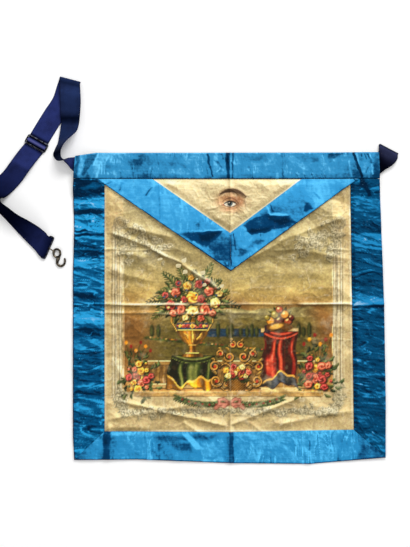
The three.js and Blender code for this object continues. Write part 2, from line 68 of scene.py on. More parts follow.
LOWER_RIGHT: Point = (193.5, -186.5)
LOWER_LEFT: Point = (-192.5, -189.5)
LEFT_MITRE: Point = (-154.8, -154.0)
RIGHT_MITRE: Point = (154.0, -152.0)
FLAP_POINT: Point = (1.5, 44.5)
FLAP_INNER_POINT: Point = (0.6, 91.8)
BAND_BOTTOM = 158.8
RIBBON_TOP = 158.5
TOP = ((-190.8, 186.8), (-165, 190.8), (184.2, 191.5))
RIGHT_SIDE = (LOWER_RIGHT, (193.5, -115), (191.5, 4), (187.6, 110))
LEFT_SIDE = (LOWER_LEFT, (-194, -160), (-194, 43), (-192.5, 95), (-194, 145))
BOTTOM_SIDE = (LOWER_LEFT, (-111, -189), (0, -193.5), (100, -194.5), LOWER_RIGHT)


# Shared arithmetic


def linear(colour: Colour, share: float = 1) -> Array:
    """A colour written as 0xRRGGBB, or a share of it, as linear light from 0 to 1."""
    display = np.array([colour >> 16, colour >> 8 & 255, colour & 255]) / 255 * share
    return np.where(display <= 10 / 255, display / 12.92, ((display + 0.055) / 1.055) ** 2.4)


def smooth(low: float, high: float, value: Array) -> Array:
    """0 below low, 1 above high, and a smooth step between them."""
    share = np.clip((value - low) / (high - low), 0, 1)
    return share * share * (3 - 2 * share)


def within(soft: float | Array, *gaps: Array) -> Array:
    """1 where every gap is positive, 0 where one is negative, and an edge as wide as soft between."""
    return smooth(-soft / 2, soft / 2, np.minimum.reduce(gaps))


def spoke(turn: float | Array, reach: float | Array = 1) -> Array:
    """The place, or each place, at an angle in degrees and a distance from the origin."""
    angle = np.radians(turn)
    return np.stack([reach * np.cos(angle), reach * np.sin(angle)], -1)


def heading(start: Sequence[float], end: Sequence[float]) -> tuple[float, float]:
    """How far it is from one place to another, and the angle of that way in degrees."""
    dx, dy = end[0] - start[0], end[1] - start[1]
    return math.hypot(dx, dy), math.degrees(math.atan2(dy, dx))


def turned(x: Array, y: Array, start: Sequence[float], turn: float) -> tuple[Array, Array]:
    """How far each place lies from a start, along an angle in degrees and across it."""
    c, s = spoke(turn)
    return (x - start[0]) * c + (y - start[1]) * s, (y - start[1]) * c - (x - start[0]) * s


def cells(x: Array, y: Array, pitch_x: float, pitch_y: float, phase: float) -> tuple[Array, ...]:
    """Places on a lattice of unit cells whose corners have values without any order.

    Args:
        x: Places along X.
        y: Places along Y.
        pitch_x: How fast the values change along the first axis.
        pitch_y: How fast they change along the second axis.
        phase: Which values.

    Returns:
        How far each place is along its cell on both axes, and the cell's low left, low right, high left
        and high right values from -1 to 1.
    """
    cell_x, cell_y = np.floor(x), np.floor(y)
    numbers = [
        np.sin((cell_x + dx) * pitch_x + (cell_y + dy) * pitch_y + phase) * SCATTER
        for dy in (0, 1) for dx in (0, 1)
    ]
    return x - cell_x, y - cell_y, *(2 * (number - np.floor(number)) - 1 for number in numbers)


def value_noise(x: Array, y: Array, seed: float) -> Array:
    """Smooth noise from -1 to 1 at each place, on a lattice of unit cells.

    Args:
        x: Places along X.
        y: Places along Y.
        seed: Which noise.

    Returns:
        The noise at each.
    """
    *inside, low_left, low_right, high_left, high_right = cells(x, y, 127.1, 311.7, seed * 74.7)
    in_x, in_y = (s * s * s * (s * (s * 6 - 15) + 10) for s in inside)
    low = low_left + (low_right - low_left) * in_x
    high = high_left + (high_right - high_left) * in_x
    return low + (high - low) * in_y


def rough_noise(x: Array, y: Array, seed: float, octaves: int = 4) -> Array:
    """Noise of several sizes, each half as big and half as strong as the last."""
    sizes = range(octaves)
    return sum(value_noise(x * 2**k + 17.3 * k, y * 2**k - 9.1 * k, seed + k) * 0.5**k for k in sizes) / 1.9


def crumple(x: Array, y: Array, seed: float, octaves: int = 3) -> Array:
    """Sharp little ridges between soft hollows, as pressed satin has.

    Args:
        x: Places along X.
        y: Places along Y.
        seed: Which crumpling.
        octaves: How many sizes of ridge there are.

    Returns:
        A height from 0 to 1 for each place.
    """
    warp = 0.45 * value_noise(x * 0.9 + 5, y * 0.9, seed + 31)
    total = np.zeros_like(x)
    for k in range(octaves):
        wave = np.abs(value_noise((x + warp) * 2**k, (y - warp) * 2**k, seed + 7 * k))
        total += (1 - np.sqrt(wave + 0.004)) ** 2 * 0.55**k
    return total / 1.6


def facets(x: Array, y: Array, seed: float) -> Array:
    """A surface of flat triangles that meet in crisp creases.

    Args:
        x: Places along X.
        y: Places along Y.
        seed: Which surface.

    Returns:
        A height from -1 to 1 for each place.
    """
    bent_x = x + 0.35 * value_noise(x * 0.7, y * 0.7, seed + 3)
    bent_y = y + 0.35 * value_noise(x * 0.7, y * 0.7, seed + 4)
    in_x, in_y, low_left, low_right, high_left, high_right = cells(bent_x, bent_y, 269.5, 183.3, seed * 51.3)
    low = low_left + (low_right - low_left) * in_x + (high_left - low_left) * in_y
    high = high_right + (high_left - high_right) * (1 - in_x) + (low_right - high_right) * (1 - in_y)
    return np.where(in_x + in_y < 1, low, high)


def hairlines(a: Array, b: Array, seed: float, crisp: float) -> tuple[Array, Array]:
    """Masks from 0 to 1 of thin lines and of the lines beside them, wandering across unit cells, where
    painted highlights and painted shade of small creases go.
    """
    line = value_noise(a, b, seed)
    return (1 - np.abs(line)) ** crisp, np.clip(1 - np.abs(line + 2.7 / crisp), 0, 1) ** crisp


def along_line(points: Sequence[Point], share: Array) -> tuple[Array, Array]:
    """Places at shares of the length of a line through points.

    Args:
        points: The line's points.
        share: The shares.

    Returns:
        The places along X and along Y.
    """
    x, y = np.array(points, float).T
    reach = np.concatenate([[0], np.cumsum(np.hypot(np.diff(x), np.diff(y)))])
    return np.interp(share * reach[-1], reach, x), np.interp(share * reach[-1], reach, y)


def spacing(start: float, *runs: tuple[float, float]) -> Array:
    """Places from start on, each run given as where it ends and how far apart its places are.

    Args:
        start: The first place.
        runs: The runs.

    Returns:
        The places.
    """
    places = [start]
    for end, pitch in runs:
        count = max(1, round(abs(end - places[-1]) / pitch))
        places += list(np.linspace(places[-1], end, count + 1)[1:])
    return np.array(places)


def gleam(column: Array, row: Array, x: Array, y: Array, z: Array) -> Array:
    """How far each point of a grid leans towards the apron's top right, which a ribbon's painted light and
    shade follow.

    Args:
        column: Each point's column.
        row: Each point's row.
        x: Its place.
        y: Its place.
        z: Its height.

    Returns:
        The slope, positive where the point leans that way.
    """
    grids = np.zeros((3, row.max() + 1, column.max() + 1))
    for grid, values in zip(grids, (x, y, z)):
        grid[row, column] = values
    (x_row, x_col), (y_row, y_col), (z_row, z_col) = (np.gradient(grid) for grid in grids)
    area = x_col * y_row - x_row * y_col
    slope_x = (z_col * y_row - z_row * y_col) / area
    slope_y = (x_col * z_row - x_row * z_col) / area
    return (-LIGHT_X * slope_x - LIGHT_Y * slope_y)[row, column]


# How the cloth lies


@dataclass(frozen=True)
class Fold:
    """A crease along a line on the plan: its half width, its height, and how crisp its crest is."""

    x0: float
    y0: float
    x1: float
    y1: float
    half: float
    height: float
    crisp: float = 1.0

    def rise(self, x: Array, y: Array) -> Array:
        """Height of the crease at each place, fading out at its ends.

        Args:
            x: Places along X.
            y: Places along Y.

        Returns:
            The height at each.
        """
        length, turn = heading((self.x0, self.y0), (self.x1, self.y1))
        along, across = turned(x, y, (self.x0, self.y0), turn)
        across = across + 1.2 * value_noise(along / 23, across * 0 + self.x0, self.y0)
        ends = smooth(0, 0.16 * length, along) * smooth(0, 0.16 * length, length - along)
        wave = np.abs(across) / self.half
        soft = np.exp(-2.2 * wave * wave)
        sharp = np.exp(-2.6 * np.sqrt(wave * wave + 0.004))
        return self.height * ends * (soft + (sharp - soft) * self.crisp)


@dataclass(frozen=True)
class Lift:
    """A round soft swell on the plan."""

    x: float
    y: float
    radius: float
    height: float

    def rise(self, x: Array, y: Array) -> Array:
        """Height of the swell at each place."""
        away = np.clip(np.hypot(x - self.x, y - self.y) / self.radius, 0, 1)
        return self.height * (1 - away * away) ** 2


FOLDS = (
    Fold(-215, 3.2, -40, 3.2, 5, 1.5), Fold(-170, -7.6, 60, -7.6, 4, 1.1), Fold(70, 3.6, 215, 3.6, 5, 1.9),
    Fold(-60, 3.2, 90, 3.6, 4, 1.0), Fold(1, 220, 1, 60, 5, 1.3), Fold(1, -100, 1, -220, 6, 1.5),
    Fold(-215, 71, -62, 71, 3.5, 0.8), Fold(40, 71, 160, 71, 4, 0.6),
    Fold(-150, -114, 10, -150, 7, 1.5, 0.8), Fold(-10, -150, 100, -108, 7, 1.5, 0.8),
    Fold(-158, -141, -40, -120, 8, 1.3, 0.6), Fold(50, -146, 158, -128, 8, 1.3, 0.6),
    Fold(-150, 92, -90, 71, 6, 1.7, 0.8), Fold(-104, 76, -54, 51, 6, 2.0, 0.9),
    Fold(-66, 57, -2, 15, 6, 1.8, 0.8), Fold(-130, 100, -66, 86, 8, 1.5, 0.6),
    Fold(-146, 66, -100, 62, 8, 1.3, 0.6), Fold(-152, 48, -92, 30, 9, 1.2, 0.4),
    Fold(20, 58, 68, 82, 7, 1.2, 0.7), Fold(50, 76, 150, 116, 8, 1.3, 0.6),
    Fold(88, 70, 152, 58, 8, 1.0, 0.5), Fold(30, 44, 120, 40, 10, 0.9, 0.3),
    Fold(-60, -140, -20, -168, 6, 0.8, 0.6), Fold(60, -165, 10, -135, 6, 0.8, 0.6),
    Fold(-152, -220, -150, -140, 7, 1.8, 0.5), Fold(97, -210, 97, -150, 6, 1.1, 0.7),
    Fold(-148, -60, -118, -112, 8, 1.0, 0.5), Fold(150, -50, 126, -112, 8, 1.0, 0.5),
)


@dataclass(frozen=True)
class Lay:
    """How the whole apron lies: pressed folds, lifted corners and the cloth's own wrinkles."""

    folds: tuple[Fold, ...] = FOLDS
    corners: tuple[Lift, ...] = (Lift(-193, 178, 62, 7), Lift(178, 174, 66, 6.7))
    swells: tuple[Lift, ...] = (Lift(-78, 116, 58, 3.6), Lift(86, 122, 56, 3.6))

    def ground(self, x: Array, y: Array) -> Array:
        """Height of the sheet's underside over the floor, without its own small wrinkles."""
        flat = np.zeros_like(x)
        return np.maximum.reduce([flat, *(part.rise(x, y) for part in (*self.folds, *self.corners))]) + 0.05

    def sheet_top(self, x: Array, y: Array) -> Array:
        """Height of the satin sheet's upper side, with wrinkles where it is bare.

        Args:
            x: Places along X.
            y: Places along Y.

        Returns:
            The height at each.
        """
        bare = smooth(0, 9, np.minimum.reduce([x + 157, 157 - x, y + 157, 160 - y]))
        fine = 0.8 * crumple(x / 38, y / 27, 3, 2) + 0.16 * crumple(x / 13, y / 9, 8)
        fine = fine + 1.3 * facets(x / 44, y / 27, 5) + 0.35 * facets(x / 17, y / 11, 6)
        wide = 1.5 * value_noise(x / 60, y / 40, 12)
        return self.ground(x, y) + 0.6 + bare * np.maximum(fine + wide, -0.3)

    def ribbon_bed(self, x: Array, y: Array) -> Array:
        """Height that a ribbon's underside rests at."""
        return self.ground(x, y) + 1.35

    def band_bed(self, x: Array, y: Array) -> Array:
        """Height that the doubled waistband's upper layer lies at."""
        return self.ribbon_bed(x, y) + 2.2

    def flap_bed(self, x: Array, y: Array) -> Array:
        """Height that the flap's underside rests at; its top edge is tucked under the waistband.

        Args:
            x: Places along X.
            y: Places along Y.

        Returns:
            The height at each.
        """
        swell = np.maximum.reduce([s.rise(x, y) for s in self.swells])
        over = 0.5 + 1.4 * smooth(112, 138, np.abs(x)) + swell
        return self.ribbon_bed(x, y) + 0.2 + (over - 0.1) * smooth(161, 150, y)

    def flap_ribbon_bed(self, x: Array, y: Array) -> Array:
        """Height that the flap's ribbons lie at."""
        return self.flap_bed(x, y) + 0.75


@dataclass(frozen=True)
class Facet:
    """A flat facet of crumpled satin in painted light or painted shade, lighter or darker than what is round
    it by its tone.
    """

    points: Line
    tone: float
    edge: float = 1.6

    def cover(self, x: Array, y: Array) -> Array:
        """How much of the facet is at each place, from 0 to 1.

        Args:
            x: The places.
            y: The places.

        Returns:
            The facet's share of each.
        """
        sides = tuple(zip(self.points, self.points[1:] + self.points[:1]))
        hand = math.copysign(1, sum(a[0] * b[1] - b[0] * a[1] for a, b in sides))
        bend_x, bend_y = (
            1.1 * value_noise(x / 9, y / 9, k) + 0.6 * value_noise(x / 3.5, y / 3.5, k + 5) for k in (3, 4)
        )
        edge = self.edge * (1.1 + 0.8 * value_noise(x / 11, y / 11, 8))
        x, y = x + bend_x, y + bend_y
        gaps = [turned(x, y, a, heading(a, b)[1])[1] * hand for a, b in sides]
        return within(edge, *gaps)


def crease(x0: float, y0: float, x1: float, y1: float, width: float, tone: float) -> Facet:
    """A long narrow facet of painted light or painted shade between two places, pointed a little at its far
    end.

    Args:
        x0: Where it starts.
        y0: Where it starts.
        x1: Where it ends.
        y1: Where it ends.
        width: How wide it is.
        tone: How light it is.

    Returns:
        The facet.
    """
    dx, dy = spoke(heading((x0, y0), (x1, y1))[1] + 90, width / 2)
    far = ((x1 - dx * 0.7, y1 - dy * 0.7), (x1 + dx * 0.7, y1 + dy * 0.7))
    return Facet(((x0 - dx, y0 - dy), *far, (x0 + dx, y0 + dy)), tone)


# Meshes


def lattice(columns: int, rows: int) -> tuple[Shape, Array, Array]:
    """A flat grid of points.

    Args:
        columns: Points along the grid.
        rows: Points across it.

    Returns:
        The grid, and each point's column and row.
    """
    bm = bmesh.new()
    bmesh.ops.create_grid(bm, x_segments=columns - 1, y_segments=rows - 1, size=1)
    places = np.array([v.co[:2] for v in bm.verts])
    column, row = (np.round((places + 1) / 2 * (columns - 1, rows - 1)).astype(int)).T
    return bm, column, row


def put_points(bm: Shape, places: Array) -> None:
    """Moves a shape's points to places in millimetres, kept as metres."""
    for vert, place in zip(bm.verts, places):
        vert.co = Vector(place) * MM


def close_up(bm: Shape) -> None:
    """Joins the points that a shape has twice, fills its open ends and turns its faces outwards.

    Args:
        bm: The shape.
    """
    bmesh.ops.remove_doubles(bm, verts=bm.verts[:], dist=1e-7)
    bmesh.ops.holes_fill(bm, edges=[e for e in bm.edges if e.is_boundary], sides=0)
    bmesh.ops.recalc_face_normals(bm, faces=bm.faces[:])


def as_mesh(name: str, *shapes: Shape) -> bpy.types.Mesh:
    """Joins shapes as one mesh and frees them.

    Args:
        name: The mesh's name.
        shapes: The shapes.

    Returns:
        The mesh.
    """
    mesh = bpy.data.meshes.new(name)
    for part in shapes[1:]:
        part.to_mesh(mesh)
        shapes[0].from_mesh(mesh)
        part.free()
    shapes[0].to_mesh(mesh)
    shapes[0].free()
    return mesh


def points_of(mesh: bpy.types.Mesh) -> Array:
    """A mesh's points in millimetres.

    Args:
        mesh: The mesh.

    Returns:
        The points, a row each.
    """
    flat = np.zeros(len(mesh.vertices) * 3)
    mesh.vertices.foreach_get("co", flat)
    return flat.reshape(-1, 3) / MM


def add_values(mesh: bpy.types.Mesh, name: str, values: Array) -> None:
    """Adds one number, or one linear colour, for each point of a mesh.

    Args:
        mesh: The mesh.
        name: What finishes call the values.
        values: The numbers, or the rows of red, green and blue.
    """
    kind, key = ("FLOAT", "value") if values.ndim == 1 else ("FLOAT_COLOR", "color")
    if values.ndim > 1:
        values = np.concatenate([values, np.ones((len(values), 1))], axis=1)
    layer = mesh.attributes.new(name, kind, "POINT")
    layer.data.foreach_set(key, values.astype(np.float32).ravel())


def finish_piece(name: str, mesh: bpy.types.Mesh, material: Material, node: str) -> Piece:
    """Makes a mesh a smooth piece that rides on the apron.

    Args:
        name: The piece's name.
        mesh: Its mesh, in place and in metres.
        material: Its finish.
        node: The CAD node that it stands for.

    Returns:
        The piece.
    """
    mesh.shade_smooth()
    mesh.materials.append(material)
    piece = bpy.data.objects.new(name, mesh)
    bpy.context.scene.collection.objects.link(piece)
    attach(piece, "root")
    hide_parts(node)
    LOG.info("%s: %d faces", name, len(mesh.polygons))
    return piece


def thicken(piece: Piece, thickness: float) -> None:
    """Gives a sheet its thickness in millimetres, below it.

    Args:
        piece: The sheet.
        thickness: How thick it becomes.
    """
    solid = piece.modifiers.new("thickness", "SOLIDIFY")
    solid.thickness = thickness * MM
    solid.offset = -1


# Finishes


class Shader:
    """A material's nodes, joined by short calls. A value is a number, a colour or an output."""

    def __init__(self, name: str) -> None:
        """Starts a material with one surface shader.

        Args:
            name: The material's name.
        """
        self.material = bpy.data.materials.new(name)
        self.material.use_nodes = True
        self.tree = self.material.node_tree
        self.tree.nodes.clear()
        self.surface = self.tree.nodes.new("ShaderNodeBsdfPrincipled")
        output = self.tree.nodes.new("ShaderNodeOutputMaterial")
        self.tree.links.new(self.surface.outputs[0], output.inputs[0])

    def feed(self, socket: Socket, value: object) -> None:
        """Sets a socket to a value, or links it to an output.

        Args:
            socket: The socket.
            value: A number, a vector, a colour or an output.
        """
        if isinstance(value, Socket):
            self.tree.links.new(value, socket)
        elif socket.type == "RGBA":
            socket.default_value = (*linear(value), 1)
        else:
            socket.default_value = value

    def node(
        self, kind: str, inputs: dict[str | int, object], output: int | str = 0, **settings: object
    ) -> Socket:
        """Adds a node.

        Args:
            kind: Its type, without the words that all shader nodes' types start with.
            inputs: What each socket is fed.
            output: Which output is wanted.
            settings: The node's own settings.

        Returns:
            That output.
        """
        made = self.tree.nodes.new("ShaderNode" + kind)
        for key, value in settings.items():
            setattr(made, key, value)
        for key, value in inputs.items():
            self.feed(made.inputs[key], value)
        return made.outputs[output]

    def dressed(self, **inputs: object) -> Material:
        """Feeds the surface's sockets, named with _ for a space.

        Args:
            inputs: What each socket is fed.

        Returns:
            The material.
        """
        for key, value in inputs.items():
            self.feed(self.surface.inputs[key.replace("_", " ")], value)
        return self.material

    def sum(self, kind: str, a: object, b: object = 0.0, c: object = 0.0) -> Socket:
        """The result of a Math node."""
        return self.node("Math", {0: a, 1: b, 2: c}, operation=kind)

    def mix(self, share: object, a: object, b: object, blend: str = "MIX") -> Socket:
        """Colour a with a share of colour b laid on it."""
        return self.node("Mix", {0: share, 6: a, 7: b}, 2, data_type="RGBA", blend_type=blend)

    def span(self, value: object, low: float, high: float, to_low: float = 0, to_high: float = 1) -> Socket:
        """A value from low to high moved smoothly to the span from to_low to to_high."""
        inputs = {0: value, 1: low, 2: high, 3: to_low, 4: to_high}
        return self.node("MapRange", inputs, interpolation_type="SMOOTHSTEP")

    def noise(self, cycles: float | Triple, detail: float, rough: float) -> Socket:
        """Noise from 0 to 1 over Object coordinates.

        Args:
            cycles: How many it has in a metre, or how many along each axis.
            detail: How many sizes of noise are added.
            rough: How strong the small ones are.

        Returns:
            The noise.
        """
        scale = cycles if isinstance(cycles, tuple) else (cycles, cycles, cycles)
        place = self.node("Mapping", {"Vector": self.node("TexCoord", {}, "Object"), "Scale": scale})
        return self.node("TexNoise", {"Vector": place, "Scale": 1, "Detail": detail, "Roughness": rough})

    def held(self, name: str, output: str = "Fac") -> Socket:
        """The number, or the Color, that a mesh holds under a name."""
        return self.node("Attribute", {}, output, attribute_name=name)

    def bump(self, height: object, strength: float, reach: float, below: Socket | None = None) -> Socket:
        """A bumped normal, reach being the height of the bumps in millimetres."""
        inputs = {"Height": height, "Strength": strength, "Distance": reach * MM}
        return self.node("Bump", inputs if below is None else {**inputs, "Normal": below})


class Run(Enum):
    """Which way a ribbon runs on the plan, and so which way its creases lie."""

    UPWARDS = "y"
    SIDEWAYS = "x"


@dataclass(frozen=True)
class RibbonSatin:
    """Blue satin ribbon: a dark, a middle and a light blue of the same dye, laid as painted shade and
    painted light, streaks along its threads, and a fine weave.
    """

    name: str
    dark: Colour
    middle: Colour
    light: Colour
    streaks: Triple = (40, 330, 40)
    roughness: float = 0.45

    def dress(self) -> Material:
        """Builds the finish.

        Returns:
            The material.
        """
        s = Shader(self.name)
        tone = s.held("tone")
        lively = s.span(tone, -1.8, -0.4, 0.55, 1)
        for cycles, detail, share in ((70, 5, 1.0), (self.streaks, 3, 0.9), (280, 3, 0.7)):
            grain = s.sum("MULTIPLY_ADD", s.noise(cycles, detail, 0.62), share, -share / 2)
            tone = s.sum("MULTIPLY_ADD", grain, lively, tone)
        # The tone that each point holds is painted light and shade; it picks between the dark, middle and
        # light blue.
        low = s.mix(s.span(tone, -1.1, 0.0), self.dark, self.middle)
        base = s.mix(s.span(tone, 0.0, 1.1), low, self.light)
        # Painted deep shade where the tone is lowest, and a painted highlight where it is highest.
        base = s.mix(s.span(tone, -2.3, -1.0, 0.85, 0), base, 0x000E24)
        base = s.mix(s.span(tone, 1.3, 2.6, 0, 0.6), base, 0xBADEF0)
        base = s.mix(s.span(s.noise(420, 2, 0.5), 0.64, 0.76, 0, 0.3), base, 0x5480A0)
        weave = s.noise(1900, 2, 0.7)
        base = s.mix(0.12, base, s.mix(weave, 0x001432, 0xC8E1FF), "OVERLAY")
        wrinkled = s.bump(s.noise(95, 4, 0.6), 0.55, 1.6)
        return s.dressed(
            Base_Color=base,
            Roughness=self.roughness,
            Specular_IOR_Level=0.22,
            Specular_Tint=0x5ABEFF,
            Normal=s.bump(weave, 0.25, 0.12, wrinkled),
        )


@dataclass(frozen=True)
class PrintedSatin:
    """Cream satin, printed in soft inks with painted light and shade on its creases, browned and stained by
    age.
    """

    name: str = "cream_satin"

    def dress(self) -> Material:
        """Builds the finish.

        Returns:
            The material.
        """
        s = Shader(self.name)
        dark_patch = s.span(s.noise(16, 5, 0.6), 0.5, 0.72)
        # The held print colours carry the print with painted crease light and shade on it; the darker brown
        # patches are age stains.
        base = s.mix(s.sum("MULTIPLY", dark_patch, 0.34), s.held("print", "Color"), 0xB0925C, "MULTIPLY")
        pale = s.span(s.noise((23, 29, 20), 4, 0.6), 0.55, 0.75)
        base = s.mix(s.sum("MULTIPLY", pale, 0.25), base, 0xF4E8C4)
        grain = s.mix(s.noise((900, 700, 900), 3, 0.75), 0x281E0A, 0xFFFAEB)
        base = s.mix(0.22, base, grain, "OVERLAY")
        mottle = s.mix(s.span(s.noise(330, 3, 0.6), 0.3, 0.7), 0x322814, 0xFFF8E1)
        base = s.mix(0.2, base, mottle, "OVERLAY")
        wrinkled = s.bump(s.noise((70, 85, 70), 4, 0.6), 0.5, 1.5)
        return s.dressed(
            Base_Color=base,
            Roughness=0.5,
            Specular_IOR_Level=0.25,
            Specular_Tint=0xFFF0CD,
            Normal=s.bump(s.noise((260, 2400, 260), 2, 0.6), 0.2, 0.1, wrinkled),
        )


@dataclass(frozen=True)
class WebbingWeave:
    """Navy elastic webbing: ribs along it, fine picks across it, two faces of slightly other blues, painted
    shade in the hollows of its weave, and painted light and shade along its length.
    """

    name: str = "navy_webbing"
    upper: Colour = 0x273372
    under: Colour = 0x1E3160
    gloss: float = 0.12
    ribs: int = 18
    pick_length: float = 1.1

    def dress(self) -> Material:
        """Builds the finish.

        Returns:
            The material.
        """
        s = Shader(self.name)
        flat = s.node("UVMap", {}, uv_map="flat")
        length, width = (s.node("SeparateXYZ", {0: flat}, axis) for axis in (0, 1))
        rib = s.sum("SINE", s.sum("MULTIPLY", width, 2 * math.pi * self.ribs))
        pick = s.sum("SINE", s.sum("MULTIPLY", length, 2 * math.pi / self.pick_length))
        cloth = s.sum("ADD", s.sum("MULTIPLY", rib, 0.5), s.sum("MULTIPLY", pick, 0.35))
        base = s.mix(s.held("face"), self.upper, self.under)
        base = s.mix(s.span(s.noise(60, 4, 0.6), 0.35, 0.75, 0, 0.5), base, 0x080C28)
        base = s.mix(s.span(s.noise(1500, 2, 0.6), 0.5, 0.85, 0, 0.3), base, 0x3C4880)
        # Painted shade in the hollows between the ribs and the picks.
        base = s.mix(s.span(cloth, -0.85, 0.2, 0.4, 0), base, 0x080A22)
        edge = s.sum("ABSOLUTE", s.sum("SUBTRACT", width, 0.5))
        base = s.mix(s.span(edge, 0.44, 0.48, 0, 0.5), base, 0x0A0E28)
        # The held values are painted light and shade along the strap: below 0 a painted highlight, above 0
        # painted shade, which also takes away the gloss.
        base = s.mix(s.span(s.held("painted_light_and_shade"), -1, 0, 1, 0), base, 0x60629E)
        base = s.mix(s.sum("MULTIPLY", s.held("painted_light_and_shade"), 0.96), base, 0x010208)
        return s.dressed(
            Base_Color=base,
            Roughness=0.85,
            Specular_IOR_Level=s.span(s.held("painted_light_and_shade"), 0, 1, self.gloss, 0),
            Normal=s.bump(cloth, 0.55, 0.25),
        )


@dataclass(frozen=True)
class WornBronze:
    """Dark bronze, brighter and smoother where hands and cloth have rubbed it."""

    name: str = "bronze"
    rubbed: Colour = 0x746A5A
    dull: Colour = 0x241F1A

    def dress(self) -> Material:
        """Builds the finish.

        Returns:
            The material.
        """
        s = Shader(self.name)
        patchy = s.span(s.noise(260, 4, 0.6), 0.42, 0.62)
        pit = s.noise(1300, 3, 0.6)
        base = s.mix(patchy, self.dull, self.rubbed)
        base = s.mix(s.span(pit, 0.55, 0.8, 0, 0.5), base, 0x181410)
        return s.dressed(
            Base_Color=base,
            Metallic=0.9,
            Roughness=s.span(patchy, 0, 1, 0.5, 0.28),
            Normal=s.bump(pit, 0.3, 0.15),
        )


# The print


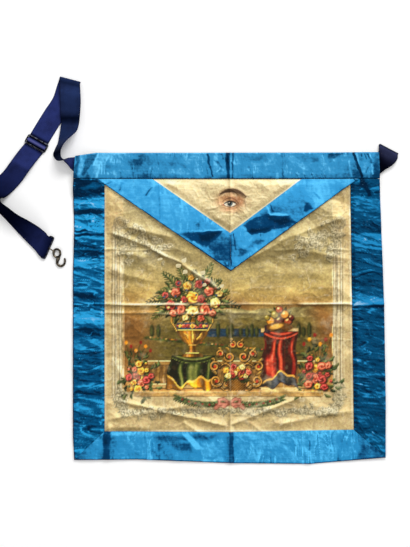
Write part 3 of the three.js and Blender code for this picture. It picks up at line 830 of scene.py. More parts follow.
class Inks:
    """Inks laid on a sheet's points by shapes drawn in the sheet's own plane."""

    def __init__(self, x: Array, y: Array, colour: Array) -> None:
        """Takes the points' places and their linear colours, which are changed in place."""
        self.x, self.y, self.colour = x, y, colour

    @classmethod
    def on(cls, x: Array, y: Array, ground: Colour) -> Self:
        """Starts with one ground colour all over."""
        return cls(x, y, np.tile(linear(ground), (len(x), 1)))

    def at(self, x: float, y: float, size: float = 1) -> Self:
        """The same sheet, drawn on round another origin at another size."""
        return type(self)((self.x - x) / size, (self.y - y) / size, self.colour)

    def near(self, x: float, y: float, reach: float, turn: float = 0) -> tuple[Array, Array, Array]:
        """The points in a square round a place, and how far each lies from it along a turn and across it."""
        pick = np.flatnonzero((np.abs(self.x - x) < reach) & (np.abs(self.y - y) < reach))
        return pick, *turned(self.x[pick], self.y[pick], (x, y), turn)

    def lay(self, pick: Array | slice, cover: Array, ink: Colour | Array) -> None:
        """Lays a colour, or a linear one for each point, over picked points by its cover from 0 to 1."""
        tint = ink if isinstance(ink, np.ndarray) else linear(ink)
        self.colour[pick] += (tint - self.colour[pick]) * np.clip(cover, 0, 1)[:, None]

    def region(self, inside: Array, ink: Colour | Array, cover: float | Array = 1) -> None:
        """Lays a colour over every point by a cover that each point has."""
        self.lay(slice(None), inside * cover, ink)

    def block(
        self, x0: float, x1: float, y0: float, y1: float, ink: Colour | Array, cover: float = 1
    ) -> None:
        """Lays an upright rectangle."""
        self.region(within(1, self.x - x0, x1 - self.x, self.y - y0, y1 - self.y), ink, cover)

    def level(self, x0: float, x1: float, y: float, width: float, ink: Colour, cover: float) -> None:
        """Lays a level line."""
        self.stroke([(x0, y), (x1, y)], width, ink, cover)

    def oval(
        self, x: float, y: float, rx: float, ry: float, ink: Colour,
        turn: float = 0, soft: float = 0.9, cover: float = 1,
    ) -> None:
        """Lays an ellipse with a soft edge.

        Args:
            x: Its middle.
            y: Its middle.
            rx: Its half length.
            ry: Its half width.
            ink: Its colour.
            turn: Its angle in degrees.
            soft: How wide its edge is.
            cover: How much of the ink is laid.
        """
        pick, along, across = self.near(x, y, max(rx, ry) + soft + 1, turn)
        gap = (1 - np.hypot(along / rx, across / ry)) * min(rx, ry)
        self.lay(pick, cover * within(soft, gap), ink)

    def dot(self, x: float, y: float, size: float, ink: Colour, soft: float = 0.9, cover: float = 1) -> None:
        """Lays a round spot."""
        self.oval(x, y, size, size, ink, 0, soft, cover)

    def stroke(
        self, points: Array | Sequence[Point], width: float, ink: Colour,
        cover: float = 1, taper: bool = False, soft: float = 0.8,
    ) -> None:
        """Lays a line through points.

        Args:
            points: Where it goes.
            width: How wide it is.
            ink: Its colour.
            cover: How much of the ink is laid.
            taper: Whether it thins to its ends.
            soft: How wide its edge is.
        """
        knots = np.array(points, float)
        middle = (knots.min(0) + knots.max(0)) / 2
        pick, x, y = self.near(*middle, np.ptp(knots, axis=0).max() / 2 + width + 2)
        steps = np.diff(knots, axis=0)
        gap = np.full(x.shape, -1e9)
        for k, ((start_x, start_y), (dx, dy)) in enumerate(zip(knots - middle, steps)):
            from_x, from_y = x - start_x, y - start_y
            share = np.clip((from_x * dx + from_y * dy) / (dx * dx + dy * dy + 1e-9), 0, 1)
            half = width / 2
            if taper:
                half = half * np.sin(math.pi * np.clip((k + share) / len(steps), 0.04, 0.96)) ** 0.6
            gap = np.maximum(gap, half - np.hypot(from_x - share * dx, from_y - share * dy))
        self.lay(pick, cover * within(soft, gap), ink)

    def leaf(self, x: float, y: float, length: float, width: float, turn: float, ink: Colour) -> None:
        """Lays a pointed leaf, with a lit half and a midrib.

        Args:
            x: Where its stalk is.
            y: Where its stalk is.
            length: How long it is.
            width: How wide it is.
            turn: Which way it points, in degrees.
            ink: Its colour.
        """
        pick, along, across = self.near(x, y, length + 2, turn)
        belly = np.sin(math.pi * np.clip(along / length, 0, 1))
        across = across + 0.12 * length * belly**2
        inside = within(0.8, width / 2 * belly**0.75 - np.abs(across)) * (belly > 1e-9)
        lit = smooth(-0.4, 0.4, across * (1 if spoke(turn)[0] >= 0 else -1))[:, None]
        rib = smooth(0.5, 0.1, np.abs(across))[:, None] * (width > 2.2)
        self.lay(pick, inside, (linear(ink) * (0.62 + 0.88 * lit) + 0.02 * lit) * (1 - 0.35 * rib))

    def rose(self, x: float, y: float, size: float, ink: Colour, seed: float) -> None:
        """Lays a full rose: whorled petals, darker in its heart and on its lower side.

        Args:
            x: Its middle.
            y: Its middle.
            size: Its half width.
            ink: Its colour.
            seed: Which rose.
        """
        pick, dx, dy = self.near(x, y, size * 1.3)
        angle = np.arctan2(dy, dx)
        away = np.hypot(dx, dy) / size
        spin = 1 if math.sin(seed * 5) > 0 else -1
        swirl = spin * (2 + round(seed) % 2) * angle + 9 * away + seed * 2 + 1.4 * np.sin(2 * angle + seed)
        petal = 0.5 + 0.5 * np.sin(swirl)
        light = 0.28 + 0.7 * petal * smooth(0.05, 0.6, away) + 0.3 * (dy - 0.5 * dx) / size
        light = light * (0.75 + 0.4 * smooth(1.05, 0.7, away)) - 0.15 * (away < 0.2)
        tint = linear(ink)
        pale = np.minimum(tint * 1.7 + 0.1, 1)
        dark = tint * 0.28
        shade = np.clip(light, 0, 1)[:, None]
        dim, bright = dark + (tint - dark) * shade * 2, tint + (pale - tint) * (shade * 2 - 1)
        petals = np.where(shade < 0.5, dim, bright)
        self.lay(pick, within(1, (1 + 0.08 * np.sin(5 * angle + seed) - away) * size), petals)


def curl(x: float, y: float, size: float, turn: float, hand: int = 1, turns: float = 1.4) -> Array:
    """Points of a scroll that runs out from its eye at a place, from a turn in degrees."""
    shares = np.linspace(0, 1, 26)
    return spoke(turn + 360 * hand * turns * shares, size * (0.08 + 0.92 * shares**0.8)) + (x, y)


def arc(x0: float, y0: float, x1: float, y1: float, bulge: float, count: int = 14) -> Array:
    """Points of a bowed line between two places.

    Args:
        x0: Where it starts.
        y0: Where it starts.
        x1: Where it ends.
        y1: Where it ends.
        bulge: How far it leaves the straight line.
        count: How many steps it has.

    Returns:
        The points, a row each.
    """
    share = np.linspace(0, 1, count + 1)[:, None]
    bow = spoke(heading((x0, y0), (x1, y1))[1] + 90, bulge * 4 * share[:, 0] * (1 - share[:, 0]))
    return np.array([x0, y0]) * (1 - share) + np.array([x1, y1]) * share + bow


CREAM = 0xDBC28C
FLAP_CREAM = 0xDCC99C
GREY_INK = 0x58584E
OLIVE = 0x58622E
LEAF_GREEN = 0x3A5026
PALM_GREEN = 0x5C6C3C
ROSE_RED = 0x9E2824
ROSE_PINK = 0xC45E42
ROSE_GOLD = 0xD8942C
ROSE_CREAM = 0xDEB46A
ROSES = (ROSE_RED, ROSE_GOLD, ROSE_PINK, ROSE_CREAM)
LEAVES = (LEAF_GREEN, OLIVE, 0x2C3E20, PALM_GREEN)
STONE = 0xA07E46
BROWN = 0x4E361C
GOLD = 0xCE9434
GOLDEN_ANGLE = 137.5


@dataclass(frozen=True)
class PrintedCloth:
    """A cloth drawn over a block: half its width, its top and hem, its three tones and its lining."""

    half: float
    top: float
    hem: float
    dark: Colour
    light: Colour
    pale: Colour
    lining: Colour
    seed: float

    def paint(self, inks: Inks) -> None:
        """Draws it, its middle on the inks' origin.

        Args:
            inks: The sheet's inks.
        """
        x, y, seed = inks.x, inks.y, self.seed
        down = smooth(self.top, self.hem, y)
        u = (x + 1.6 * np.sin(y / 15 + seed)) / (self.half * (1 + 0.16 * down) + 1.2 * np.sin(y / 6 + seed))
        hang = self.hem + 3 * np.sin(x / 6 + seed) + 2 * np.sin(x / 2.7 + 2 * seed)
        edge = np.minimum.reduce([(1 - np.abs(u)) * self.half, self.top - y, y - hang])
        inside = within(1.2, edge)
        wave = u * 5.2 + 0.9 * value_noise(x / 18, y / 24, seed) + 0.4 * np.sin(y / 13 + seed)
        ridge = 0.5 + 0.5 * np.sin(wave * 2 + 1.3 * np.sin(wave * 1.1 + seed))
        ridge = ridge + 0.22 * value_noise(x / 2.2, y / 17, seed + 9) - 0.35 * u * u
        swag = y - (self.top - 10 + 7 * u * u)
        draped = 0.55 + 0.45 * np.sin(swag * 1.15 + seed)
        ridge = np.clip(np.where(swag > 0, draped, ridge - 0.4 * np.exp(swag / 3)), 0, 1)[:, None]
        dark, light, pale = (linear(tone) for tone in (self.dark, self.light, self.pale))
        colour = dark + (light - dark) * np.minimum(ridge * 1.6, 1)
        colour = colour + (pale - light) * np.clip(ridge * 2.5 - 1.6, 0, 1)
        turn_up = 9 + 6 * np.sin(x / 8 + 3 * seed) + self.half * 0.4 * smooth(0.1, 0.9, u * math.cos(seed))
        over_hem = hang + turn_up - y
        under = within(1.4, over_hem)[:, None]
        inks.region(inside, colour + (linear(self.lining) * (0.3 + 0.95 * ridge) - colour) * under)
        inks.region(inside * smooth(1.7, 0.8, np.abs(over_hem)), 0xE2B658, 0.75)
        inks.region(inside * smooth(1.6, 0.5, edge), self.dark, 0.75)


class GardenPrint(Inks):
    """The sheet's printed picture: a terrace with a tall urn of flowers, a bowl of fruit and roses."""

    left, right, floor = -132.0, 128.0, -105.0
    green = PrintedCloth(28, -60, -101, 0x1A2614, 0x485C2C, 0x8E9252, 0xD89628, 2.0)
    red = PrintedCloth(20, -30, -98, 0x541414, 0xA82E26, 0xD66848, 0x5C6470, 0.6)

    def paint(self) -> Array:
        """Draws the whole print, then a painted highlight along the sheet's edges by the ribbons and painted
        shade on its hidden margin under them.

        Returns:
            One linear colour for each point.
        """
        x, y = self.x, self.y
        self.paint_ground()
        self.paint_frame()
        self.paint_distance()
        self.paint_wall()
        self.at(-112, -88).paint_bush(1)
        self.at(108, -84, 1.12).paint_bush(-1)
        self.green.paint(self.at(-46, 0))
        self.at(62, 0).paint_block(23, -106, -30)
        self.red.paint(self.at(62, 0))
        self.at(-46, -62, 0.8).paint_bouquet()
        self.at(62, -30, 1.35).paint_fruit()
        self.at(9, -102).paint_screen()
        self.at(9, -104).paint_basket()
        self.paint_foot()
        self.deepen()
        self.paint_fold_light()
        # A painted highlight along the sheet's edge beside the ribbons, and painted shade, dark blue, over
        # the margin hidden under the ribbons and the waistband, so that the seams between them look shaded.
        rim = np.minimum.reduce([x + 154.8, np.interp(y, (-152, 158), (154, 149.4)) - x, y + 154.5])
        self.region(smooth(1.5, 0.4, np.abs(rim - 1)), 0xFFF4D6, 0.6)
        self.region(smooth(0.2, 1.2, -np.minimum(rim, 158.2 - y)), 0x185478)
        return self.colour

    def deepen(self) -> None:
        """Makes the picture's lower part stronger and browner, and flecks all of it."""
        x, y = self.x, self.y
        deep = (x > self.left) & (x < self.right) & (y > self.floor)
        deep = deep * smooth(60, 0, y)
        light = self.colour @ BRIGHTNESS
        self.colour *= (np.clip(light / 0.2, 0.02, 4) ** (0.32 * deep))[:, None]
        self.colour *= np.clip(self.colour / 0.2, 0.02, 4) ** (0.24 * deep)[:, None]
        self.colour *= 1 - deep[:, None] * np.array([0.02, 0.08, 0.2])
        fleck = rough_noise(x / 5, y / 5, 95, 3)
        self.region(smooth(0.15, 0.6, fleck), 0xE2CC9A, 0.1 + 0.12 * (1 - deep))
        self.region(smooth(-0.15, -0.6, fleck), 0x604622, 0.22)

    def paint_ground(self) -> None:
        """Lays the margin's mottling, the pale sky and the brown terrace."""
        x, y = self.x, self.y
        cloud = rough_noise(x / 46, y / 26, 41, 4)
        sky = linear(0xB09E68) * (1 + 0.34 * cloud[:, None])
        sky = sky + (linear(0xBEAE80) - sky) * smooth(60, 140, y)[:, None]
        earth = linear(0x866032) * (1 + 0.4 * rough_noise(x / 30, y / 11, 44, 4)[:, None])
        earth = earth + (linear(0xAC844C) - earth) * smooth(-60, -100, y)[:, None]
        tint = sky + (earth - sky) * smooth(34, -18, y + 20 * cloud)[:, None]
        # The sky is darker in five long soft patches.
        for px, py, turn in ((-88, 84, -22), (-118, 56, 10), (-60, 64, -30), (100, 78, 30), (60, 66, 14)):
            along, across = turned(x, y, (px, py), turn)
            dark_patch = smooth(1.3, 0.2, np.hypot(along / 34, across / 7) + 0.4 * cloud)
            tint = tint * (1 - 0.34 * dark_patch)[:, None]
        edge = np.minimum.reduce([x - self.left, self.right - x, y - self.floor])
        self.region(within(1.6, edge + 0.8 * value_noise(x / 9, y / 9, 5)), tint, 0.95)

    def paint_frame(self) -> None:
        """Lays the ruled margin, the corner scrolls and the scrolls under the picture."""
        x, y = self.x, self.y
        covers = (0.6, 0.7, 0.3, 0.5, 0.3)
        streak = value_noise(x / 1.1, y / 40, 17) + 0.7 * value_noise(x / 1.2, y / 5, 18)
        for low, high, lines in ((-147, -131, (-145.6, -141.8, -139.4, -136.6, -132.4)),
                                 (127, 141, (137.2, 133.4, 131, 128.4, 140.4))):
            band = smooth(0, 1, np.minimum(x - low, high - x)) * smooth(-118, -108, y) * smooth(108, 96, y)
            self.region(band * smooth(0.1, 0.9, streak), 0xF4E4BA, 0.8)
            self.region(band * smooth(-0.1, -0.8, streak), 0x78643E, 0.6)
            for place, cover in zip(lines, covers):
                line = np.array([(place, -112), (place, 100)])
                self.stroke(line, 1.0, GREY_INK, cover)
                self.stroke(line + (1.3, 0), 0.9, 0xFAEECC, cover)
        rng = np.random.default_rng(12)
        for side in (-1, 1):
            for start, end, spread, count in (
                ((138, 92), (124, 62), 7, 26), ((126, 98), (84, 66), 10, 52),
                ((138, -104), (128, -134), 6, 26), ((126, -130), (84, -131), 4, 24),
            ):
                self.scrolls(rng, (side * start[0], start[1]), (side * end[0], end[1]), spread, count)
            self.oval(side * 136, 104, 8, 7.5, 0x968860, 0, 3, 0.5)
            for reach in (7.4, 5.2, 2.6):
                ring = spoke(np.degrees(np.linspace(0, 6.3, 25)), reach) + (side * 136, 104)
                self.stroke(ring, 1.1, GREY_INK, 0.6)
                self.stroke(ring + 1, 0.8, 0xF0E2BA, 0.5)
        self.scrolls(rng, (-88, -129), (88, -129), 2.6, 64)
        self.stroke(arc(-118, -124, 116, -124, -4, 40), 0.9, GREY_INK, 0.4)
        self.stroke(arc(-124, -137, 122, -137, 2, 40), 0.8, GREY_INK, 0.35)

    def scrolls(
        self, rng: np.random.Generator, start: Point, end: Point, spread: float, count: int
    ) -> None:
        """Lays a tangle of scrolls and leaves along a line.

        Args:
            rng: Where the scrolls' places and sizes are drawn from.
            start: Where the tangle starts.
            end: Where it ends.
            spread: How far the scrolls stray from the line.
            count: How many scrolls there are.
        """
        for k in range(count):
            share = (k + 0.5) / count
            x, y = (a + (b - a) * share + rng.normal(0, spread * 0.6) for a, b in zip(start, end))
            size, turn, hand = rng.uniform(2, 4.4), rng.uniform(0, 360), rng.choice((-1, 1))
            self.oval(x + 1, y - 1, size * 1.5, size * 1.2, 0x968860, turn, size, 0.26)
            self.leaf(x, y, size * 1.9, 2.4, turn, 0xB0A47C)
            self.leaf(x, y, size * 1.6, 2, turn + 140, 0x8C8464)
            line = curl(x, y, size, turn, hand, 1)
            self.stroke(line, 1.25, 0x5C5844, 0.6, soft=0.9)
            self.stroke(line + 1.1, 1.1, 0xF6E8C0, 0.5, soft=1)

    def paint_distance(self) -> None:
        """Lays hills, a lake and trees seen beyond the terrace."""
        x, y = self.x, self.y
        hills = ((-2, 8, 0x8C8862, 61), (-14, 6, 0x7C703C, 63), (-26, 5, 0x685E2C, 66))
        sides = smooth(-116, -60, x) * smooth(120, 84, x) * smooth(-74, -62, y)
        for level, swing, ink, seed in hills:
            crest = level + swing * rough_noise(x / 30, x * 0, seed, 3)
            light = 1 + 0.55 * rough_noise(x / 7, y / 3, seed + 5, 3)
            self.region(within(1.6, crest - y) * sides, linear(ink) * light[:, None], 0.85)
        water = within(1.2, 5 - np.abs(y + 32)) * smooth(-34, -22, x) * smooth(58, 44, x)
        ripple = 1 + 0.5 * value_noise(x / 6, y / 0.9, 71)[:, None]
        self.region(water, linear(0x1C4E70) * ripple, 0.95)
        for k in range(90):
            px, py = -104 + 212 * (0.618 * k % 1), -61 + 23 * (0.382 * k % 1)
            self.oval(px, py, 3.4, 1.9, LEAVES[k % 4], 20 * math.sin(k), 1.4, 0.6)
            self.oval(px + 1, py + 1, 1.2, 0.9, (*ROSES, OLIVE)[k % 5], 0, 1, 0.7 * (k % 3 > 0))
        for k, place in enumerate((-96, -88, -2, 3, 22, 28, 34, 86, 92, 99, 14, -14)):
            tall = 12 + 7 * math.sin(3.1 * k)
            self.oval(place, -36 + tall / 2, 2.8, tall / 1.5, 0x324020, 0, 1.6)
            self.oval(place - 0.8, -35 + tall / 2, 1.3, tall / 2, 0x70763E, 0, 1.6, 0.6)

    def paint_wall(self) -> None:
        """Lays a low balustrade across the terrace, with its rail and its plinth."""
        self.block(-112, 110, -102, -68, 0x70542C, 0.6)
        for x in range(-109, 110, 7):
            self.oval(x, -89, 2.4, 5.4, STONE)
            self.oval(x, -77, 1.5, 5.0, STONE)
            self.oval(x + 1.1, -87, 0.9, 6, 0x68502E, 0, 1, 0.7)
        for y, tall, ink in ((-69.5, 4.8, STONE), (-98.5, 5.2, 0xA88E60)):
            self.block(-114, 111, y - tall / 2, y + tall / 2, ink, 0.95)
            self.level(-114, 111, y + tall / 2, 0.9, 0xE8D8AC, 0.8)
            self.level(-114, 111, y - tall / 2, 1.0, BROWN, 0.7)

    def paint_screen(self) -> None:
        """Lays a gilded screen of scrolls behind the basket, the same on both sides of its middle."""
        scrolls = (
            (11, 6, 9, 200, 1), (25, 10, 8, 330, -1), (13, 24, 8, 160, -1), (27, 28, 6.5, 20, 1),
            (9, 40, 7, 250, 1), (20, 44, 4.5, 90, -1), (5, 55, 4.5, 200, -1),
        )
        for px, py, size, turn, hand in scrolls:
            for side in (-1, 1):
                line = curl(px, py, size, turn, hand) * (side, 1)
                self.stroke(line, 3.4, 0x3C2A14, 0.9)
                self.stroke(line + (-0.4, 0.5), 1.6, 0xCEA054, 0.95, True)
                self.leaf(side * px, py + size, size, 3.4, 90 - side * 50, 0x967834)
                self.dot(side * px, py, 1.9, 0xBC4228)

    def paint_block(self, half: float, low: float, high: float) -> None:
        """Lays a stone block with a plinth and a top slab.

        Args:
            half: Half its width.
            low: Where it stands.
            high: Where its slab lies.
        """
        self.block(-half + 4, half - 4, low, high, STONE, 0.95)
        self.block(half - 9, half - 4, low, high, 0x7A623A, 0.8)
        for y in (low + 3.5, high + 1):
            self.block(-half, half, y - 2.6, y + 2.6, 0xC6B080)
            self.level(-half, half, y - 2.6, 1, BROWN, 0.7)

    def paint_fruit(self) -> None:
        """Lays a low gold bowl heaped with fruit."""
        for k in range(7):
            self.leaf(0, 11, 13, 3.8, 8 + 27 * k, LEAVES[k % 4])
        skins = (ROSE_GOLD, 0xB44C22, 0x802C28, 0x9C8C3E)
        heap = (
            (-8, 9, 4), (8, 9, 4.2), (0, 10, 4.6), (-4, 15, 4), (5, 15, 4.1), (0, 19.5, 3.6),
            (11, 12, 2.8), (-11, 12, 2.6),
        )
        for k, (x, y, size) in enumerate(heap):
            ink = skins[k % 4]
            self.dot(x, y, size, linear(ink, 0.4), 0.8)
            self.dot(x - 0.4, y + 0.5, size * 0.82, ink, 1.4)
            self.oval(x - 1.2, y + 1.5, size * 0.3, size * 0.24, 0xF4DCA0, 30, 1.2, 0.8)
        for k in range(9):
            self.dot(-12.5 + 1.4 * (k % 3), 4 - 2.2 * (k // 3), 1.5, 0x4A2842, 0.8)
        self.oval(0, 3.6, 12, 4.6, 0x7A5220)
        self.oval(-3, 4.4, 6, 2.2, 0xDEB25C, 12, 1.4, 0.85)
        self.oval(0, 0.4, 5, 1.6, 0x583A18)

    def paint_urn(self) -> None:
        """Lays a footed urn standing on the origin, with two handles, a painted band and a fluted bowl."""
        x, y = self.x, self.y
        heights = (0, 4, 6, 12, 18, 24, 34, 44, 52, 58, 62, 65, 68)
        halves = (17, 16, 10, 5, 6, 15, 23, 26, 24, 18, 16, 20, 21)
        half = np.interp(y, heights, halves)
        inside = within(1.2, half - np.abs(x), y, 68 - y)
        turn = np.clip(x / np.maximum(half, 1), -1, 1)
        light = 0.24 + 0.85 * np.exp(-(((turn + 0.35) / 0.38) ** 2))
        light += 0.2 * np.exp(-(((turn - 0.85) / 0.12) ** 2))
        flutes = 0.85 + 0.15 * np.sin(turn * 22) * smooth(50, 40, y)
        self.region(inside, linear(GOLD) * (light * flutes)[:, None])
        self.region(inside * within(1, 5.5 - np.abs(y - 48)), linear(0x22506C) * (0.5 + light)[:, None])
        for k in range(9):
            depth, place = spoke(-64 + 16 * k)
            self.rose(25 * place, 48, 3.1 * depth + 0.6, ROSES[k % 3], k)
        for place in (53.6, 42.2, 62, 18, 6, 66):
            reach = float(np.interp(place, heights, halves))
            self.level(-reach, reach, place, 1.1, 0xF0CC78, 0.85)
            self.level(-reach, reach, place - 1.3, 0.9, BROWN, 0.7)
        for side in (-1, 1):
            handle = np.array([(20, 64), (27, 67), (32, 62), (32, 54), (27, 46), (24, 40)]) * (side, 1)
            self.stroke(handle, 3.6, 0x60401A)
            self.stroke(handle + (-0.5, 0.5), 1.4, 0xE2B25C, 0.9)
            self.leaf(side * 6, 26, 15, 5, 90 - side * 38, 0xBC8A3C)
        self.leaf(0, 22, 19, 6, 90, 0xC69446)

    def paint_bouquet(self) -> None:
        """Lays the urn with its palm leaves, roses and small flowers."""
        steps = np.arange(13)
        for k, turn in enumerate(range(168, 23, -16)):
            length, ink = 62 + 9 * math.sin(2.3 * k), LEAVES[(k + 1) % 4]
            spine = spoke(turn + (turn - 90) * 0.03 * steps, steps / 12 * length) + (0, 78)
            self.stroke(spine, 1.3, linear(ink, 0.6), 0.9)
            for step in range(3, 13):
                way = heading(spine[step - 1], spine[step])[1]
                size = 14 * math.sin(math.pi * min(0.98, (step + 1) / 14)) + 2
                for side in (-1, 1):
                    self.leaf(*spine[step], size, 2.5, way + side * 32, ink)
        self.paint_urn()
        for k in range(70):
            turn = GOLDEN_ANGLE * k
            x, y = spoke(turn, 5.4 * math.sqrt(k)) * (1.12, 0.72) + (0, 88)
            self.leaf(x, y, 13, 5.2, turn + 20 * math.sin(k), LEAVES[k % 4])
        roses = (
            (-34, 80, 7.5), (35, 84, 7.5), (-26, 100, 7), (26, 102, 7), (-8, 110, 6.5), (11, 113, 6.5),
            (-42, 96, 5), (42, 98, 5), (-18, 74, 7.5), (19, 73, 8), (0, 92, 9.5), (-13, 89, 5), (13, 90, 6),
            (1, 71, 8.5), (-30, 68, 5.5), (31, 68, 5.5), (-2, 123, 4.5), (-22, 114, 4.5), (23, 117, 4.5),
            (-11, 61, 5), (13, 60, 5),
        )
        for k, (x, y, size) in enumerate(roses):
            self.oval(x + 0.8, y - 1, size * 1.14, size * 1.12, 0x1A1E10, 0, 2.2, 0.85)
            self.rose(x, y, size, ROSES[(k * 7 + k // 3) % 4], 1.7 * k)
        for k in range(28):
            x, y = spoke(GOLDEN_ANGLE * k + 60, 12 + 6.2 * math.sqrt(k)) * (1, 0.7) + (0, 89)
            self.dot(x, y, 1.8, (0x3C6084, 0xE8D292, 0xB03C30)[k % 3], 1)

    def paint_basket(self) -> None:
        """Lays a woven basket of small roses that stands on the terrace."""
        x, y = self.x, self.y
        weave = 0.6 + 0.4 * np.sin(x * 1.9) * np.sin(y * 2.1) - 0.4 * np.abs(x) / 13
        self.region(within(1, 10 + 0.28 * y - np.abs(x), y, 15 - y), linear(0xBE8A3E) * weave[:, None])
        self.level(-14, 14, 15, 2, 0x96682C, 1)
        for k in range(22):
            self.leaf(0, 15, 17, 4.6, -8 + 9.5 * k, LEAVES[k % 4])
        for k in range(14):
            px, py = spoke(13 * k, 6 + 5 * (k % 3)) * (1, 0.85) + (0, 17)
            self.dot(px + 0.5, py - 0.6, 4.2, 0x1C1E10, 1.6, 0.7)
            self.rose(px, py, 3.6, ROSES[(k * 3) % 4], 1.3 * k)

    def paint_bush(self, hand: int) -> None:
        """Lays a rose bush with tall stalks.

        Args:
            hand: 1 where the stalks lean to the right, and -1 to the left.
        """
        for k in range(6):
            stalk = arc(0, 8, hand * (14 - 6 * k), 34 + 5 * (k % 3), hand * 3)
            self.stroke(stalk, 1.0, 0x54582A, 0.85)
            self.leaf(*stalk[9], 7, 2.6, 60 + 50 * (k % 3), LEAVES[k % 4])
            self.oval(*stalk[-1], 1.9, 2.3, ROSES[k % 2])
        for k in range(74):
            turn = GOLDEN_ANGLE * k * hand + 30 * math.sin(k)
            reach = 3.3 * math.sqrt(k) * (1 + 0.3 * math.sin(5.3 * k))
            x, y = spoke(turn, reach) * (0.8, 0.9)
            self.leaf(x, y, 7 + 3 * math.sin(2.1 * k), 3.8, turn + 55 * math.sin(7.7 * k), LEAVES[k % 4])
        for k in range(17):
            x, y = spoke(GOLDEN_ANGLE * k * hand + 20, 5.8 * math.sqrt(k)) * (0.72, 0.9)
            size = 5.2 - 0.18 * k + math.sin(3 * k)
            self.oval(x + 0.6, y - 0.8, size * 1.16, size * 1.12, 0x221E10, 0, 2, 0.85)
            self.rose(x, y, size, ROSES[(k * 5 + k // 4 + (hand > 0)) % 3], 2.1 * k + hand)

    def paint_fold_light(self) -> None:
        """Paints a highlight along the lines that the sheet has been kept folded on, with painted shade
        beside each.
        """
        patchy = 0.6 + 0.4 * value_noise(self.x / 13, self.y / 13, 77)
        for start, end, width, cover in (
            ((-156, 3.2), (-48, 3.6), 1.6, 0.85), ((-48, 3.6), (82, 3.9), 1.3, 0.45),
            ((82, 3.9), (156, 3.9), 1.6, 0.8), ((-120, -8.3), (60, -8.3), 1.4, 0.45),
            ((-132, 86), (-94.7, 72.5), 3, 0.35), ((-94.7, 72.5), (-59, 54), 4, 0.75),
            ((-60, 54), (-12, 22), 4, 0.65), ((-49, -115.3), (-1, -145), 3, 0.4),
            ((-1, -145), (48, -113), 3, 0.4), ((1.5, 42), (1, -152), 1.2, 0.3),
            ((-155, 70.5), (-70, 71), 1, 0.5), ((150.6, 148), (150.6, -148), 1.2, 0.4),
        ):
            length, turn = heading(start, end)
            along, across = turned(self.x, self.y, start, turn)
            across = across + width * 0.6 * value_noise(along / 14, across * 0, length)
            ends = smooth(-2, 14, along) * smooth(-2, 14, length - along) * cover * patchy
            self.region(ends * np.exp(-(((across + width) / width) ** 2)), 0x503A1A, 0.45)
            self.region(ends * np.exp(-((across / width * 1.5) ** 2)), 0xFAECC0)

    def paint_foot(self) -> None:
        """Lays the golden step in front of the terrace, and laurel branches tied with a bow."""
        grain = 1 + 0.36 * rough_noise(self.x / 8, self.y / 2, 81, 3)[:, None]
        self.block(-118, 116, -111, -104.5, linear(0xBC8C42) * grain, 0.85)
        self.level(-118, 116, -105, 1.0, 0xECD69A, 0.8)
        self.level(-116, 114, -111, 1.0, 0x704E24, 0.6)
        for side in (-1, 1):
            branch = arc(side * 2, -119, side * 64, -112, -side * 5, 22)
            self.stroke(branch, 1.3, 0x604C24, 0.9)
            for k, place in enumerate(branch[1:]):
                for lean in (-30, 32):
                    self.leaf(*place, 7.5, 3, 90 - side * 90 + lean, LEAVES[k % 4])
                if k % 3 == 1:
                    self.dot(*place, 1.3, ROSE_RED, 0.8)
            tail = ((1, -119), (7, -123), (12, -121), (17, -125))
            loop = ((0, -119), (7, -114), (13, -115), (12, -120), (5, -121), (0, -119))
            for line, width in ((tail, 4.4), (loop, 3.4)):
                self.stroke(np.array(line) * (side, 1), width + 1.2, 0x803E30, 0.9)
                self.stroke(np.array(line) * (side, 1), width - 0.6, 0xCE8068, 0.95)
        self.oval(0, -119, 3, 3.2, 0x964C3C)


